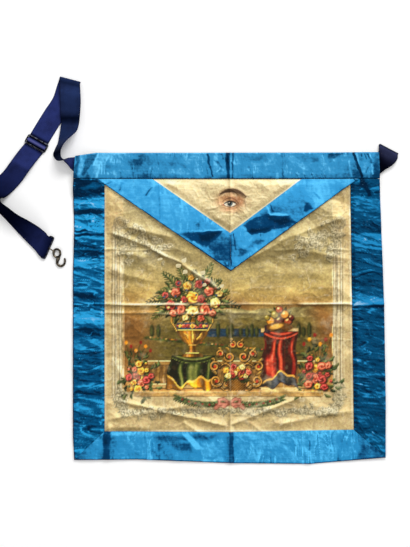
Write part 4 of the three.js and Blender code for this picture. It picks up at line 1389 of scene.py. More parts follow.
class EyePrint(Inks):
    """The flap's printed eye, a common emblem: a brow, two lids and flesh tints on the bare satin."""

    middle: Point = (0.3, 127.8)
    flesh = (
        (2, 4, 19, 13, 0xCE9668, 0, 14, 0.6), (10, 3, 8, 7, 0xA06442, 15, 7, 0.7),
        (-9, 5, 7, 5, 0xDCA676, 30, 7, 0.6), (2, -7, 11, 3.6, 0xC48C60, 0, 6, 0.55),
        (1, 6.5, 11, 3, 0xB0744E, -6, 4, 0.6),
    )
    ball = (
        (0, 0, 7.2, 3.4, 0xE8DECA, -4), (0.3, 0.4, 3.3, 3.2, 0x2C363C, 0, 0.7),
        (0.8, -0.2, 2, 1.9, 0x5C6C72, 0, 1.2), (0.3, 0.5, 1.5, 1.6, 0x101014, 0, 0.6),
        (-0.8, 1.5, 0.8, 0.8, 0xFAFAF5, 0, 0.6),
    )
    lids = (
        ((-8.6, -1.4, 9.4, -1, 4.2), 2.1, 0x221612, 0.95, True),
        ((-7.6, -1.4, 8.6, -1, -2.8), 1.1, 0x704230, 0.85, True),
        ((-7, -4.4, 10, -4, -2.4), 1.3, 0x965E3E, 0.6, True, 1.4),
    )

    def paint(self) -> Array:
        """Draws the eye, and a painted highlight along the cream's edge beside the flap's ribbons.

        Returns:
            One linear colour for each point.
        """
        inks = self.at(*self.middle)
        for row in self.flesh:
            inks.oval(*row)
        brow = arc(-13, 12, 19, 8.5, 5.6)
        inks.stroke(brow, 7, 0x7C5034, 0.6, True, 3)
        inks.stroke(brow + (1, 0.6), 5, 0x422A1C, 0.92, True, 1.8)
        for share in np.linspace(0, 1, 22):
            root = np.array([-12 + 29 * share, 11.4 - 3 * share + 22 * share * (1 - share)])
            inks.stroke([root - (1.4, 1.6), root + (2.2, 2.4 - 2.6 * share)], 0.8, 0x2C1C14, 0.75, True)
        inks.stroke(arc(-9, 2.8, 11, 0.8, 5.4), 1.6, 0x70422A, 0.85, True, 1.2)
        for row in self.ball:
            inks.oval(*row)
        for bow, *look in self.lids:
            inks.stroke(arc(*bow), *look)
        inks.oval(-8, -1.3, 1.3, 0.9, 0xBE705A, 20, 0.8)
        for share in np.linspace(0, 1, 8):
            root = np.array([1 + 8 * share, 2.7 - 3 * share * share])
            inks.stroke([root, root + (1.4 + share, 1.6)], 0.6, 0x261812, 0.8, True, 0.6)
        # Painted highlight along the cream's edge beside the ribbons.
        self.region(smooth(1.2, 0.3, np.abs(flap_inside(self.x, self.y) - 0.7)), 0xFFF6DA, 0.7)
        return self.colour


def flap_inside(x: Array, y: Array) -> Array:
    """How far each place lies inside the flap ribbons' inner edges."""
    x, y = x - FLAP_INNER_POINT[0], y - FLAP_INNER_POINT[1]
    return np.minimum(y * 0.82 + x * 0.57, y * 0.8 - x * 0.6)


# The satin sheets


def edge_between(points: Sequence[Point], axis: int, at: Array) -> Array:
    """Where a line through points lies on the other axis, at places along one axis."""
    ordered = np.array(sorted(points, key=lambda p: p[axis]), float)
    return np.interp(at, ordered[:, axis], ordered[:, 1 - axis])


@dataclass
class SatinSheet:
    """The apron's body: one printed satin sheet, fine where it is bare and coarse under the ribbons."""

    lay: Lay
    finish: PrintedSatin
    pitch: float = 1.1
    hidden_pitch: float = 4.5
    back_pitch: float = 8.0
    inset: float = 2.2
    border: float = 35.0
    bare: tuple[Point, Point] = ((-155, 154), (-155, 152))
    lining: Colour = 0xDED2AC

    def placed(self, x: Array, y: Array) -> tuple[Array, Array]:
        """Moves the outer parts of a plain rectangle so that its sides follow the apron's outline.

        Args:
            x: Places in the rectangle.
            y: Places in the rectangle.

        Returns:
            The moved places.
        """
        (x0, x1), (y0, y1) = self.bare
        left = edge_between((*LEFT_SIDE, TOP[0]), 1, y) + self.inset
        right = edge_between((*RIGHT_SIDE, TOP[-1]), 1, y) - self.inset
        x = np.where(x < x0, x0 + (x - x0) / self.border * (x0 - left), x)
        x = np.where(x > x1, x1 + (x - x1) / self.border * (right - x1), x)
        bottom = edge_between(BOTTOM_SIDE, 0, x) + self.inset
        top = edge_between(TOP, 0, x) - self.inset
        y = np.where(y < y0, y0 + (y - y0) / self.border * (y0 - bottom), y)
        return x, np.where(y > y1, y1 + (y - y1) / self.border * (top - y1), y)

    def layer(self, pitch: float, height: Height) -> Shape:
        """One side of the sheet.

        Args:
            pitch: How far apart its points are where it is bare.
            height: How high it lies.

        Returns:
            The side, facing up.
        """
        margin = max(pitch, self.hidden_pitch)
        x_at, y_at = (
            spacing(low - self.border, (low, margin), (high, pitch), (high + self.border, margin))
            for low, high in self.bare
        )
        bm, column, row = lattice(len(x_at), len(y_at))
        x, y = self.placed(x_at[column], y_at[row])
        put_points(bm, np.stack([x, y, height(x, y)], -1))
        return bm

    def build(self) -> Piece:
        """Builds the printed sheet with its back.

        Returns:
            The piece.
        """
        front = self.layer(self.pitch, self.lay.sheet_top)
        back = self.layer(self.back_pitch, self.lay.ground)
        bmesh.ops.reverse_faces(back, faces=back.faces[:])
        mesh = as_mesh("satin_sheet", back)
        printed = len(front.verts)
        front.from_mesh(mesh)
        bmesh.ops.bridge_loops(front, edges=[e for e in front.edges if e.is_boundary])
        front.to_mesh(mesh)
        front.free()
        x, y, _ = points_of(mesh).T
        # The print, with painted light and shade on the sheet's creases.
        colour = paint_crease_light(GardenPrint.on(x, y, CREAM).paint(), self.lay.sheet_top, x, y)
        colour[printed:] = linear(self.lining)
        add_values(mesh, "print", colour)
        return finish_piece("satin_sheet", mesh, self.finish.dress(), "panel")


def paint_crease_light(colour: Array, height: Height, x: Array, y: Array) -> Array:
    """Painted light and shade on a sheet: colours lighter on slopes that face the light and darker on slopes
    turned away, unevenly toned, with painted highlight and painted shade hairlines like small creases.

    Args:
        colour: One linear colour for each point.
        height: The sheet's height.
        x: Places of the points.
        y: Places of the points.

    Returns:
        The changed colours.
    """
    slope_x, slope_y = (height(x - 1, y) - height(x + 1, y)) / 2, (height(x, y - 1) - height(x, y + 1)) / 2
    lean = np.tanh((LIGHT_X * slope_x + LIGHT_Y * slope_y) * 3.2)
    shade = np.where(lean > 0, 1 + 1.05 * lean, 1 + 0.7 * lean) * 0.97
    cloudy = 1 + 0.12 * rough_noise(x / 18, y / 14, 91, 3)
    colour = colour * np.stack([shade, shade**1.08, shade**1.3], -1) * cloudy[:, None]
    plain = smooth(0.15, 0.4, colour @ BRIGHTNESS)
    for size, seed in ((15, 65), (8, 68)):
        light, dark = hairlines(x / size, y / size * 1.7, seed, 22)
        here = smooth(-0.2, 0.4, value_noise(x / size * 0.8, y / size, seed + 2))
        colour = colour * (1 - (0.34 * dark * here * (0.3 + 0.7 * plain))[:, None])
        colour += (linear(0xFCF0CE) - colour) * (0.4 * light * here * plain)[:, None]
    return np.clip(colour, 0, 0.95)


@dataclass
class FlapSheet:
    """The flap's satin, with the printed eye, cut to its point along the two ribbons."""

    lay: Lay
    finish: PrintedSatin
    left: tuple[Point, Point] = ((-155, 151.7), FLAP_POINT)
    right: tuple[Point, Point] = (FLAP_POINT, (149.4, 151.7))
    inset: float = 2.0
    thickness: float = 0.45

    def height(self, x: Array, y: Array) -> Array:
        """Height of the flap's upper side.

        Args:
            x: Places along X.
            y: Places along Y.

        Returns:
            The height at each.
        """
        bare = smooth(0, 8, flap_inside(x, y)) * smooth(160, 150, y)
        wrinkle = 0.9 * crumple(x / 24, y / 19, 52) + 0.3 * crumple(x / 10, y / 8, 55)
        wrinkle = wrinkle + 0.5 + 0.6 * facets(x / 17, y / 13, 58)
        return self.lay.flap_bed(x, y) + 0.5 + bare * wrinkle

    def build(self) -> Piece:
        """Builds the flap's sheet.

        Returns:
            The piece.
        """
        x_at = spacing(-160, (-98, 4), (-18, 0.9), (22, 0.45), (92, 0.9), (156, 4))
        y_at = spacing(44, (88, 2.5), (111, 0.9), (148, 0.45), (158.4, 0.9))
        bm, column, row = lattice(len(x_at), len(y_at))
        put_points(bm, np.stack([x_at[column], y_at[row], np.zeros(len(column))], -1))
        for (x0, y0), (x1, y1) in (self.left, self.right):
            away = Vector((y1 - y0, x0 - x1, 0)).normalized()
            start = (Vector((x0, y0, 0)) - away * self.inset) * MM
            geom = bm.verts[:] + bm.edges[:] + bm.faces[:]
            bmesh.ops.bisect_plane(bm, geom=geom, plane_co=start, plane_no=away, clear_outer=True)
        x, y = (np.array([v.co[axis] for v in bm.verts]) / MM for axis in (0, 1))
        put_points(bm, np.stack([x, y, self.height(x, y)], -1))
        mesh = as_mesh("flap_sheet", bm)
        # The eye, with painted light and shade on the flap's creases.
        add_values(mesh, "print", paint_crease_light(EyePrint.on(x, y, FLAP_CREAM).paint(), self.height, x, y))
        piece = finish_piece("flap_sheet", mesh, self.finish.dress(), "flap_panel")
        thicken(piece, self.thickness)
        return piece


# The ribbons


@dataclass
class Ribbon:
    """A ribbon laid between its outer and inner edges, with creases across it.

    The tones are pairs of a place along the ribbon and how light it is painted there, from -1 for painted
    shade to 1 for painted highlight; its relief follows them, because a slope that faces the top of the
    apron catches the light.
    """

    name: str
    node: str
    seed: float
    outer: Line
    inner: Line
    finish: RibbonSatin
    tones: Line
    run: Run
    bed: Height
    facets: tuple[Facet, ...] = ()
    calm: float = 1.0
    outer_drop: float = 1.1
    inner_drop: float = 0.4
    thickness: float = 0.5
    rise: float = 0.5
    slope: float = 0.2
    leak: float = 11.0
    pucker: float = 0.0
    pitch: float = 0.95
    wander: float = 3.0
    rim: float = 1.8

    def tone_at(self, at: Array) -> Array:
        """How light the ribbon is at places along it."""
        return np.interp(at, *np.array(sorted(self.tones)).T)

    def relief(self, at: Array) -> Array:
        """Height of the creases along the ribbon, never below nothing.

        Args:
            at: Places along the ribbon.

        Returns:
            The height at each.
        """
        ends = self.tones[0][0], self.tones[-1][0]
        step = 0.5
        places = np.arange(min(ends), max(ends), step)
        tone = self.tone_at(places)
        height = np.zeros_like(places)
        keep = math.exp(-step / self.leak)
        for k in range(1, len(places)):
            height[k] = height[k - 1] * keep - self.slope * tone[k] * step
        return np.interp(at, places, height - height.min())

    def wrinkles(self, x: Array, y: Array) -> Array:
        """Height of the small wrinkles, which run across the ribbon.

        Args:
            x: Places along X.
            y: Places along Y.

        Returns:
            The height at each.
        """
        seed = self.seed
        if self.run is Run.SIDEWAYS:
            ridges = 0.9 * crumple(x / 12 + y / 60, y / 26, seed + 9) + 0.3 * crumple(x / 6, y / 9, seed + 3)
            flats = 0.75 * facets(x / 13 + y / 50, y / 17, seed) + 0.2 * facets(x / 5, y / 7, seed + 1)
        else:
            ridges = 1.1 * crumple(x / 34, y / 9 + x / 70, seed + 9)
            ridges += 0.35 * crumple(x / 13, y / 5, seed + 3)
            flats = 0.7 * facets(x / 22, y / 9 + x / 80, seed) + 0.2 * facets(x / 9, y / 4.5, seed + 1)
        return ridges + 0.6 + flats

    def shade(self, x: Array, y: Array, tone: Array, shine: Array) -> Array:
        """The tone with painted light and shade: lighter on slopes that lean towards the light and darker on
        others, random unevenness, painted highlight and shade hairlines, and painted facets.

        Args:
            x: Places along X.
            y: Places along Y.
            tone: How light the ribbon is at each.
            shine: How far each leans towards the light, from -1 to 1.

        Returns:
            The changed tone.
        """
        seed, calm = self.seed, self.calm
        along, across = (x, y) if self.run is Run.SIDEWAYS else (y, x)
        bent = 0.7 * value_noise(x / 30, y / 30, seed + 42)
        tone = 0.85 * tone + (0.3 + 0.7 * calm) * np.where(shine > 0, 1.2, 1.15) * shine
        tone = tone + 0.22 * rough_noise(along / 5, across / 13, seed + 44, 3) * (2 - calm)
        light, dark = hairlines(across / 26 + bent, along / 3 + 2 * bent, seed + 40, 9)
        here = smooth(-0.1, 0.5, value_noise(x / 14, y / 9, seed + 41))
        tone = tone + (0.3 + 0.8 * calm) * (1.2 * light - dark) * here
        light, dark = hairlines(across / 40 + bent, along / 5 + 2 * bent, seed + 50, 16)
        here = smooth(0.0, 0.5, value_noise(across / 13, along / 9, seed + 51))
        tone = tone + calm**2 * (2 * light - 0.8 * dark) * here
        uneven = 0.9 + 0.55 * rough_noise(x / 20, y / 12, seed + 43, 3)
        for facet in self.facets:
            tone = tone + (facet.tone * uneven + 0.45 * shine - tone) * facet.cover(x, y)
        return tone

    def build(self) -> Piece:
        """Builds the ribbon.

        Returns:
            The piece.
        """
        length = sum(math.dist(a, b) for a, b in zip(self.outer[:-1], self.outer[1:]))
        half_way = (np.ravel(along_line(side, np.array([0.5]))) for side in (self.outer, self.inner))
        width = math.dist(*half_way)
        rim = self.rim
        across = spacing(0, (rim, 0.3), (width - rim, self.pitch), (width, 0.3)) / width
        columns = round(length / self.pitch) + 1
        bm, column, row = lattice(columns, len(across))
        share, reach = across[row], column / (columns - 1)
        outer, inner = (np.array(along_line(side, reach)) for side in (self.outer, self.inner))
        x, y = outer + (inner - outer) * share
        from_outer, from_inner = share * width, (1 - share) * width
        wander = self.wander * rough_noise(x / 26, y / 26, self.seed, 3)
        along = x if self.run is Run.SIDEWAYS else y
        at = along + (wander + 0.6 * rough_noise(x / 7, y / 7, self.seed + 5, 2))
        seam = 0.35 + 0.65 * smooth(0, 6, from_inner)
        gather = self.pucker * np.sin(2 * math.pi * along / 5.5 + 2 * rough_noise(x / 20, y / 20, 9, 2))
        z = self.bed(x, y) + self.rise + (self.relief(at) + self.calm * self.wrinkles(x, y)) * seam
        z = z + gather * smooth(7, 0, from_inner)
        for away, drop in ((from_outer, self.outer_drop), (from_inner, self.inner_drop)):
            z = z - drop * (1 - np.sqrt(1 - (1 - np.clip(away / rim, 0, 1)) ** 2))
        put_points(bm, np.stack([x, y, z], -1))
        bmesh.ops.recalc_face_normals(bm, faces=bm.faces[:])
        bm.faces.ensure_lookup_table()
        if bm.faces[0].normal.z < 0:
            bmesh.ops.reverse_faces(bm, faces=bm.faces[:])
        mesh = as_mesh(self.name, bm)
        # Painted light and shade: the tone table and each slope's lean towards the light, lighter and darker
        # along the puckers near the inner edge, and painted shade along both edges where the ribbon rolls
        # down.
        tone = self.shade(x, y, self.tone_at(at), np.tanh(gleam(column, row, x, y, z) * 2.6))
        tone = tone + 0.35 * gather * smooth(5, 0, from_inner)
        add_values(mesh, "tone", tone - 0.35 * smooth(1.6, 0, from_inner) - 0.6 * smooth(2.2, 0, from_outer))
        piece = finish_piece(self.name, mesh, self.finish.dress(), self.node)
        thicken(piece, self.thickness)
        return piece


# Painted light and shade along each ribbon: a place along it, and how light it is painted there.
LEFT_TONES = (
    (158, 0), (146, -0.35), (139, -0.35), (131, 1), (124, 0.9), (120, -0.3), (116.6, -0.3), (112.8, 0.75),
    (94.2, 0.8), (90.5, -0.4), (86.8, 0.5), (83, -0.35), (64.5, -0.3), (60.8, 0.75), (53.3, 0.7), (48, 0.1),
    (34.7, 0.2), (23.6, 0.1), (16, -0.4), (8.7, -0.35), (3, 0), (-13.6, 0.9), (-17.4, 0.85), (-24.8, -0.5),
    (-32.2, -0.5), (-39.7, 0.2), (-50.8, 0.2), (-54.6, -0.35), (-70, -0.35), (-73.2, 0.4), (-76, -0.3),
    (-96, -0.3), (-99.2, 0.3), (-103, -0.4), (-106.6, -0.5), (-114, 0.3), (-129, 0.25), (-136.4, -0.35),
    (-143.8, -0.3), (-151, 0.1), (-177, 0.35), (-190, 0.2),
)
RIGHT_TONES = (
    (158, -0.2), (140, 0.3), (131.4, 1), (124, 0.5), (110, -0.1), (98, -0.4), (94, -0.4), (90.5, 0.6),
    (75.6, 0.55), (68, -0.25), (27, -0.25), (15, 0.2), (8.7, 0.85), (5, 0.85), (1.2, -0.7), (-3, -0.3),
    (-40, -0.2), (-78, -0.25), (-84, 0.35), (-88, -0.5), (-95, -0.15), (-130, -0.15), (-158, 0),
    (-177, 0.5), (-190, 0.4),
)
BAND_TONES = (
    (-193, -0.8), (-186, 0.5), (-175, -0.4), (-164, 0.5), (-128, 0.2), (-114, -0.4), (-60, 0.15), (-34, 0.3),
    (-26, -0.3), (-10, 0.1), (0, -0.6), (6, 0.4), (15, 0.1), (140, 0), (156, -0.4), (169, 0.1),
    (185, -0.8), (190, -1),
)
BOTTOM_TONES = (
    (-193, -0.9), (-168, -0.1), (-152, -0.6), (-140, 0), (-100, 0.1), (-77, -0.3), (-27, 0.35), (-8, 0.2),
    (2, -0.5), (7, 0.1), (15, 0.35), (131, 0.35), (165, -0.3), (193, -0.8),
)
FLAP_LEFT_TONES = ((-165, 0.3), (-55, 0.3), (-38, -0.1), (-12, -0.3), (2, -0.6))
FLAP_RIGHT_TONES = (
    (160, 0.2), (137, 0.25), (123, 0.55), (104, 0.45), (95, -0.1), (83, 0.2), (39, 0.05), (20, 0.2),
    (11, -0.2), (1, -0.6),
)
# Facets and creases of each ribbon, in painted light and painted shade.
BAND_FACETS = (
    Facet(((-189.5, 186), (-184.5, 187.5), (-187.5, 162), (-191.5, 160.5)), -0.9),
    Facet(((-183, 183.5), (-177.5, 180.5), (-184.5, 162), (-187.5, 162)), 0.7),
    Facet(((-175.5, 187.5), (-164, 189.5), (-169.5, 176.5), (-181, 162), (-183.5, 163)), -0.85),
    crease(-162.5, 189, -168.5, 175, 1.7, 0.7),
    Facet(((-119, 182), (-110.5, 183.5), (-107.5, 174), (-117, 175.5)), -1.3, 4),
    Facet(((-153.5, 179.5), (-134.5, 176.5), (-138.5, 168.5), (-153.5, 170)), -0.5, 10),
    crease(-134.5, 167, -134, 160, 1.8, -1), crease(-119, 167, -118.5, 160, 2.3, -0.9),
    crease(-101.5, 171, -101, 161, 2.3, -0.9), crease(-90.5, 190, -87.5, 172, 2.2, -0.8),
    Facet(((-83.5, 180.5), (-68.5, 180.5), (-50, 174), (-68.5, 172.5)), -0.6, 8),
    crease(-26.5, 190, -24.5, 173, 2.6, -1.4), crease(-24.5, 174, -20, 160, 2.6, -1.7),
    Facet(((-19, 182.5), (-12.5, 180.5), (-7, 172.5), (-9.5, 172)), -0.8),
    crease(-10.5, 190, -7, 183, 1.9, -0.9), Facet(((-4.5, 193), (-1, 193), (0.5, 158), (-3.5, 158)), -1.7),
    crease(4, 193, 4, 158, 1.8, -1.5), crease(1.5, 193, 2, 158, 1.7, 0.6),
    Facet(((8, 188), (48, 187.5), (47, 181.5), (24, 180.5)), -0.7, 8),
    Facet(((91, 186), (110, 186), (108.5, 180.5), (94, 180.5)), -0.6, 8),
    Facet(((122, 189.5), (141.5, 190), (129.5, 183.5), (122, 183.5)), -1, 2.2),
    crease(65.5, 191, 66.5, 161, 1.7, -0.6), crease(147, 181, 150, 161, 2.1, 0.7),
    crease(153, 191, 158, 175, 3.3, -1.9),
    Facet(((156, 175.5), (159.5, 176), (163.5, 162.5), (163, 159.5), (161.5, 160)), -1.9),
    crease(156, 190, 160.5, 176, 2.3, 0.6), crease(161.5, 190, 163, 185, 2.1, -1),
    crease(165.5, 190, 168, 183, 1.6, -0.9), crease(169, 190, 174.5, 178, 1.8, -1),
    crease(171.5, 190, 176.5, 180, 1.8, 0.9),
    Facet(((177.5, 186.5), (184.5, 193), (186.5, 160), (177.5, 164.5)), -1, 5),
    crease(175.5, 178, 176, 164, 2.2, 0.8), crease(172, 172, 167, 165, 2, -0.9),
    Facet(((175.5, 163), (180, 166), (185, 166.5), (184, 164.5), (177, 162)), -1.1),
)
LEFT_FACETS = (
    Facet(((-192.5, 157), (-164, 157), (-155, 149), (-155, 141.5), (-171, 140.5), (-189.5, 147)), -1.1, 2.2),
    Facet(((-184, 148), (-170, 153), (-160, 151), (-168, 146), (-182, 144.5)), 0.3, 6),
    Facet(((-191.5, 120), (-173.5, 122), (-156, 119), (-156, 116), (-189.5, 116)), -1.3),
    crease(-156, 98, -190.5, 97, 2, 1.1),
    Facet(((-191, 94.5), (-179, 96), (-169.5, 93.5), (-189.5, 92.5)), -1.2),
    crease(-156, 90, -191, 89, 2.9, -1.2), crease(-157.5, 87, -189.5, 86, 1.7, 1),
)
RIGHT_FACETS = (
    Facet(((157.5, 160), (166, 160), (169.5, 151.5), (178, 137), (171, 136.5), (163, 151.5)), -1.4, 5),
    Facet(((172, 146), (185, 149), (185.5, 145.5), (178, 140.5)), 1.3, 2.2),
    crease(161, 157, 154.5, 153, 2.2, 0.8), crease(162, 137, 153, 136, 1.8, 0.9),
)
BOTTOM_FACETS = (
    Facet(((-155.5, -154.5), (-147, -154.5), (-149, -189.5), (-157.5, -189.5)), -1.5, 4),
    crease(-87, -169, -87, -190, 3.2, -1), Facet(((0, -153.5), (5, -153.5), (6, -193), (1, -193)), -1.4),
    crease(98.5, -165, 98.5, -178, 2.4, -0.9),
    Facet(((-73, -164), (-49, -169.5), (-43, -180), (-70.5, -178)), -0.8, 8),
    Facet(((-94.5, -159), (-6, -156), (-22, -164.5), (-94.5, -166.5)), -0.7, 5),
    Facet(((-59.5, -156.5), (-51.5, -156), (-32.5, -175), (-41, -177.5)), 0.8, 2.2),
    Facet(((6.5, -154.5), (58.5, -156), (85.5, -164), (32, -169.5)), 0.5, 9),
    Facet(((163.5, -169.5), (193, -185.5), (193, -196.5), (158, -188)), -0.8, 8),
    Facet(((-38, -176), (-6, -169.5), (-3, -177.5), (-32.5, -185.5)), 0.6, 8),
)
FLAP_LEFT_FACETS = (
    Facet(((-65, 91.8), (-6.6, 93.8), (-12.3, 86), (-29, 75), (-53.6, 85)), -1, 3.4),
    Facet(((-38, 90), (-12, 91.5), (-17, 85.5), (-26, 79.5), (-34, 82)), -2.7, 9),
    Facet(((-63.5, 94), (-4, 96.5), (-4, 95), (-36.5, 93)), 0.8),
    Facet(((-27.5, 76.5), (-4, 93.5), (0.5, 89.5), (0.5, 56), (-16, 58)), -0.95, 3),
    crease(-104, 138, -96, 148, 2.4, -1), crease(-100, 137, -93, 146, 1.6, 0.7),
    crease(-87, 151, -86.5, 108, 1.8, -0.6), crease(-146, 156, -152.5, 152, 2.1, -0.8),
    crease(-133, 154, -138, 142, 2.6, -0.6), crease(-37, 107, -38.5, 96.5, 2.3, -0.6),
    crease(-44, 81, -29, 70, 2.4, 0.8), crease(0.5, 91, 1, 58, 3, -1.4),
)
FLAP_RIGHT_FACETS = (
    Facet(((20, 102), (34, 115), (58, 126), (86, 124), (95, 114), (82, 103), (50, 98)), -0.45, 7),
    Facet(
        ((16.6, 101), (26.7, 109), (48, 115.5), (72.5, 114), (82, 104.5), (69.7, 97.8), (28, 89.3)),
        -1.15, 3.6,
    ),
    Facet(((50, 110), (69, 112), (77, 105.5), (66, 101), (53, 103)), -2.9, 9),
    Facet(((23, 94), (29, 91.5), (50, 96), (54, 99), (34, 97)), -2.3, 6),
    Facet(((48, 116), (61.5, 117.5), (73, 114.5), (70.5, 113), (51, 114)), 1),
    Facet(((67, 139), (88, 150), (101, 128), (92, 119), (74, 123)), -0.4, 9),
    crease(44, 127, 51, 114, 2.2, 0.9), crease(50, 128, 54, 119, 2.4, -0.8),
    Facet(((93, 130), (98, 129), (104, 121.5), (95, 116.5), (91, 118)), -1.2, 3),
    crease(104, 142, 110.5, 133, 1.8, -0.7),
    Facet(((6.5, 75), (19, 74), (27, 69), (14, 61), (7, 65)), -0.85, 4),
    Facet(((33, 85), (44, 82.5), (38, 76), (22, 74)), -0.8, 5),
    Facet(((0.5, 89.5), (6, 89.5), (12, 66.5), (2.5, 58.5)), -0.5, 2.2), crease(5, 91, 7, 72, 2.2, -1.2),
    crease(1.5, 91, 0.5, 58, 3, -1.2),
)


@dataclass
class RibbonEdging:
    """The ribbons of the apron: the waistband, three mitred borders, and the flap's two."""

    lay: Lay
    side_satin: RibbonSatin
    right_satin: RibbonSatin
    bottom_satin: RibbonSatin
    band_satin: RibbonSatin
    flap_satin: RibbonSatin
    seam: float = 0.15

    def build(self) -> list[Piece]:
        """Builds the six ribbons.

        Returns:
            The three borders from the left, the waistband, and the flap's two.
        """
        lay, up, wide = self.lay, Run.UPWARDS, Run.SIDEWAYS
        lift = np.array([0, self.seam])
        gap = np.array([self.seam, 0])
        flap_point, flap_inner = np.array(FLAP_POINT), np.array(FLAP_INNER_POINT)
        ribbons = (
            Ribbon(
                "left_border", "border_left", -181.5,
                (LOWER_LEFT + lift, *LEFT_SIDE[1:], (-193.2, RIBBON_TOP)),
                (LEFT_MITRE + lift, (-154.8, RIBBON_TOP)),
                self.side_satin, LEFT_TONES, up, lay.ribbon_bed, LEFT_FACETS, pucker=0.22,
            ),
            Ribbon(
                "right_border", "border_right", 205.5,
                (LOWER_RIGHT + lift, *RIGHT_SIDE[1:], (185.6, RIBBON_TOP)),
                (RIGHT_MITRE + lift, (149.4, RIBBON_TOP)),
                self.right_satin, RIGHT_TONES, up, lay.ribbon_bed, RIGHT_FACETS, pucker=0.22,
            ),
            Ribbon(
                "bottom_border", "border_bottom", -179.5,
                BOTTOM_SIDE, (LEFT_MITRE, (0, -155), RIGHT_MITRE),
                self.bottom_satin, BOTTOM_TONES, wide, lay.ribbon_bed, BOTTOM_FACETS, 0.6, pucker=0.15,
            ),
            Ribbon(
                "waistband_ribbon", "waistband", -181.8,
                TOP, ((-193.4, BAND_BOTTOM), (-166, BAND_BOTTOM), (185.6, BAND_BOTTOM)),
                self.band_satin, BAND_TONES, wide, lay.band_bed, BAND_FACETS, 0.6,
                outer_drop=1.8, inner_drop=1.5, thickness=0.6, rise=0.4,
            ),
            Ribbon(
                "flap_left_border", "flap_border_left", -148.5,
                ((-164.5, RIBBON_TOP), (-155, 151.7), flap_point - gap),
                ((-95.4, RIBBON_TOP), flap_inner - gap),
                self.flap_satin, FLAP_LEFT_TONES, wide, lay.flap_ribbon_bed, FLAP_LEFT_FACETS, 0.5,
            ),
            Ribbon(
                "flap_right_border", "flap_border_right", 177.5,
                ((160.5, RIBBON_TOP), (149.4, 151.7), flap_point + gap),
                ((89.3, RIBBON_TOP), flap_inner + gap),
                self.flap_satin, FLAP_RIGHT_TONES, wide, lay.flap_ribbon_bed, FLAP_RIGHT_FACETS, 0.5,
            ),
        )
        return [ribbon.build() for ribbon in ribbons]


# The strap


@dataclass(frozen=True)
class Station:
    """A section of a strap: its middle, the way across it, its roll, its width and its thickness."""

    x: float
    y: float
    z: float
    side: float
    roll: float = 0
    width: float = 25.4
    thick: float = 1.3

    def edges(self) -> tuple[Array, Array]:
        """The strap's two edges at this section.

        Returns:
            The edge on the side that it faces, and the other.
        """
        flat, up = spoke(self.roll, self.width / 2)
        middle, across = np.array([self.x, self.y, self.z]), np.array([*spoke(self.side, flat), up])
        return middle + across, middle - across

    def moved(self, reach: float) -> "Station":
        """The same section further on along the strap."""
        x, y = spoke(self.side + 90, reach)
        return replace(self, x=self.x + x, y=self.y + y)


def stations(*rows: Sequence[float]) -> tuple[Station, ...]:
    """A section for each row of its place, its side and, where they aren't usual, its other sizes."""
    return tuple(Station(*row) for row in rows)


def smooth_line(knots: Array, shares: Array) -> Array:
    """Places along a smooth line through knots.

    Args:
        knots: What the line goes through, a row each.
        shares: How far along the places are, where each step from knot to knot is an equal share.

    Returns:
        The places, a row each.
    """
    padded = np.concatenate([[2 * knots[0] - knots[1]], knots, [2 * knots[-1] - knots[-2]]])
    place = np.clip(shares * (len(knots) - 1), 0, len(knots) - 1 - 1e-9)
    index = place.astype(int)
    weight = (place - index)[:, None]
    p0, p1, p2, p3 = (padded[index + k] for k in range(4))
    gap0, gap1, gap2 = (
        np.sqrt(np.linalg.norm(b - a, axis=1))[:, None] for a, b in ((p0, p1), (p1, p2), (p2, p3))
    )
    start = ((p1 - p0) / gap0 - (p2 - p0) / (gap0 + gap1) + (p2 - p1) / gap1) * gap1
    end = ((p2 - p1) / gap1 - (p3 - p1) / (gap1 + gap2) + (p3 - p2) / gap2) * gap1
    square = -3 * p1 + 3 * p2 - 2 * start - end
    cube = 2 * p1 - 2 * p2 + start + end
    return p1 + start * weight + square * weight**2 + cube * weight**3


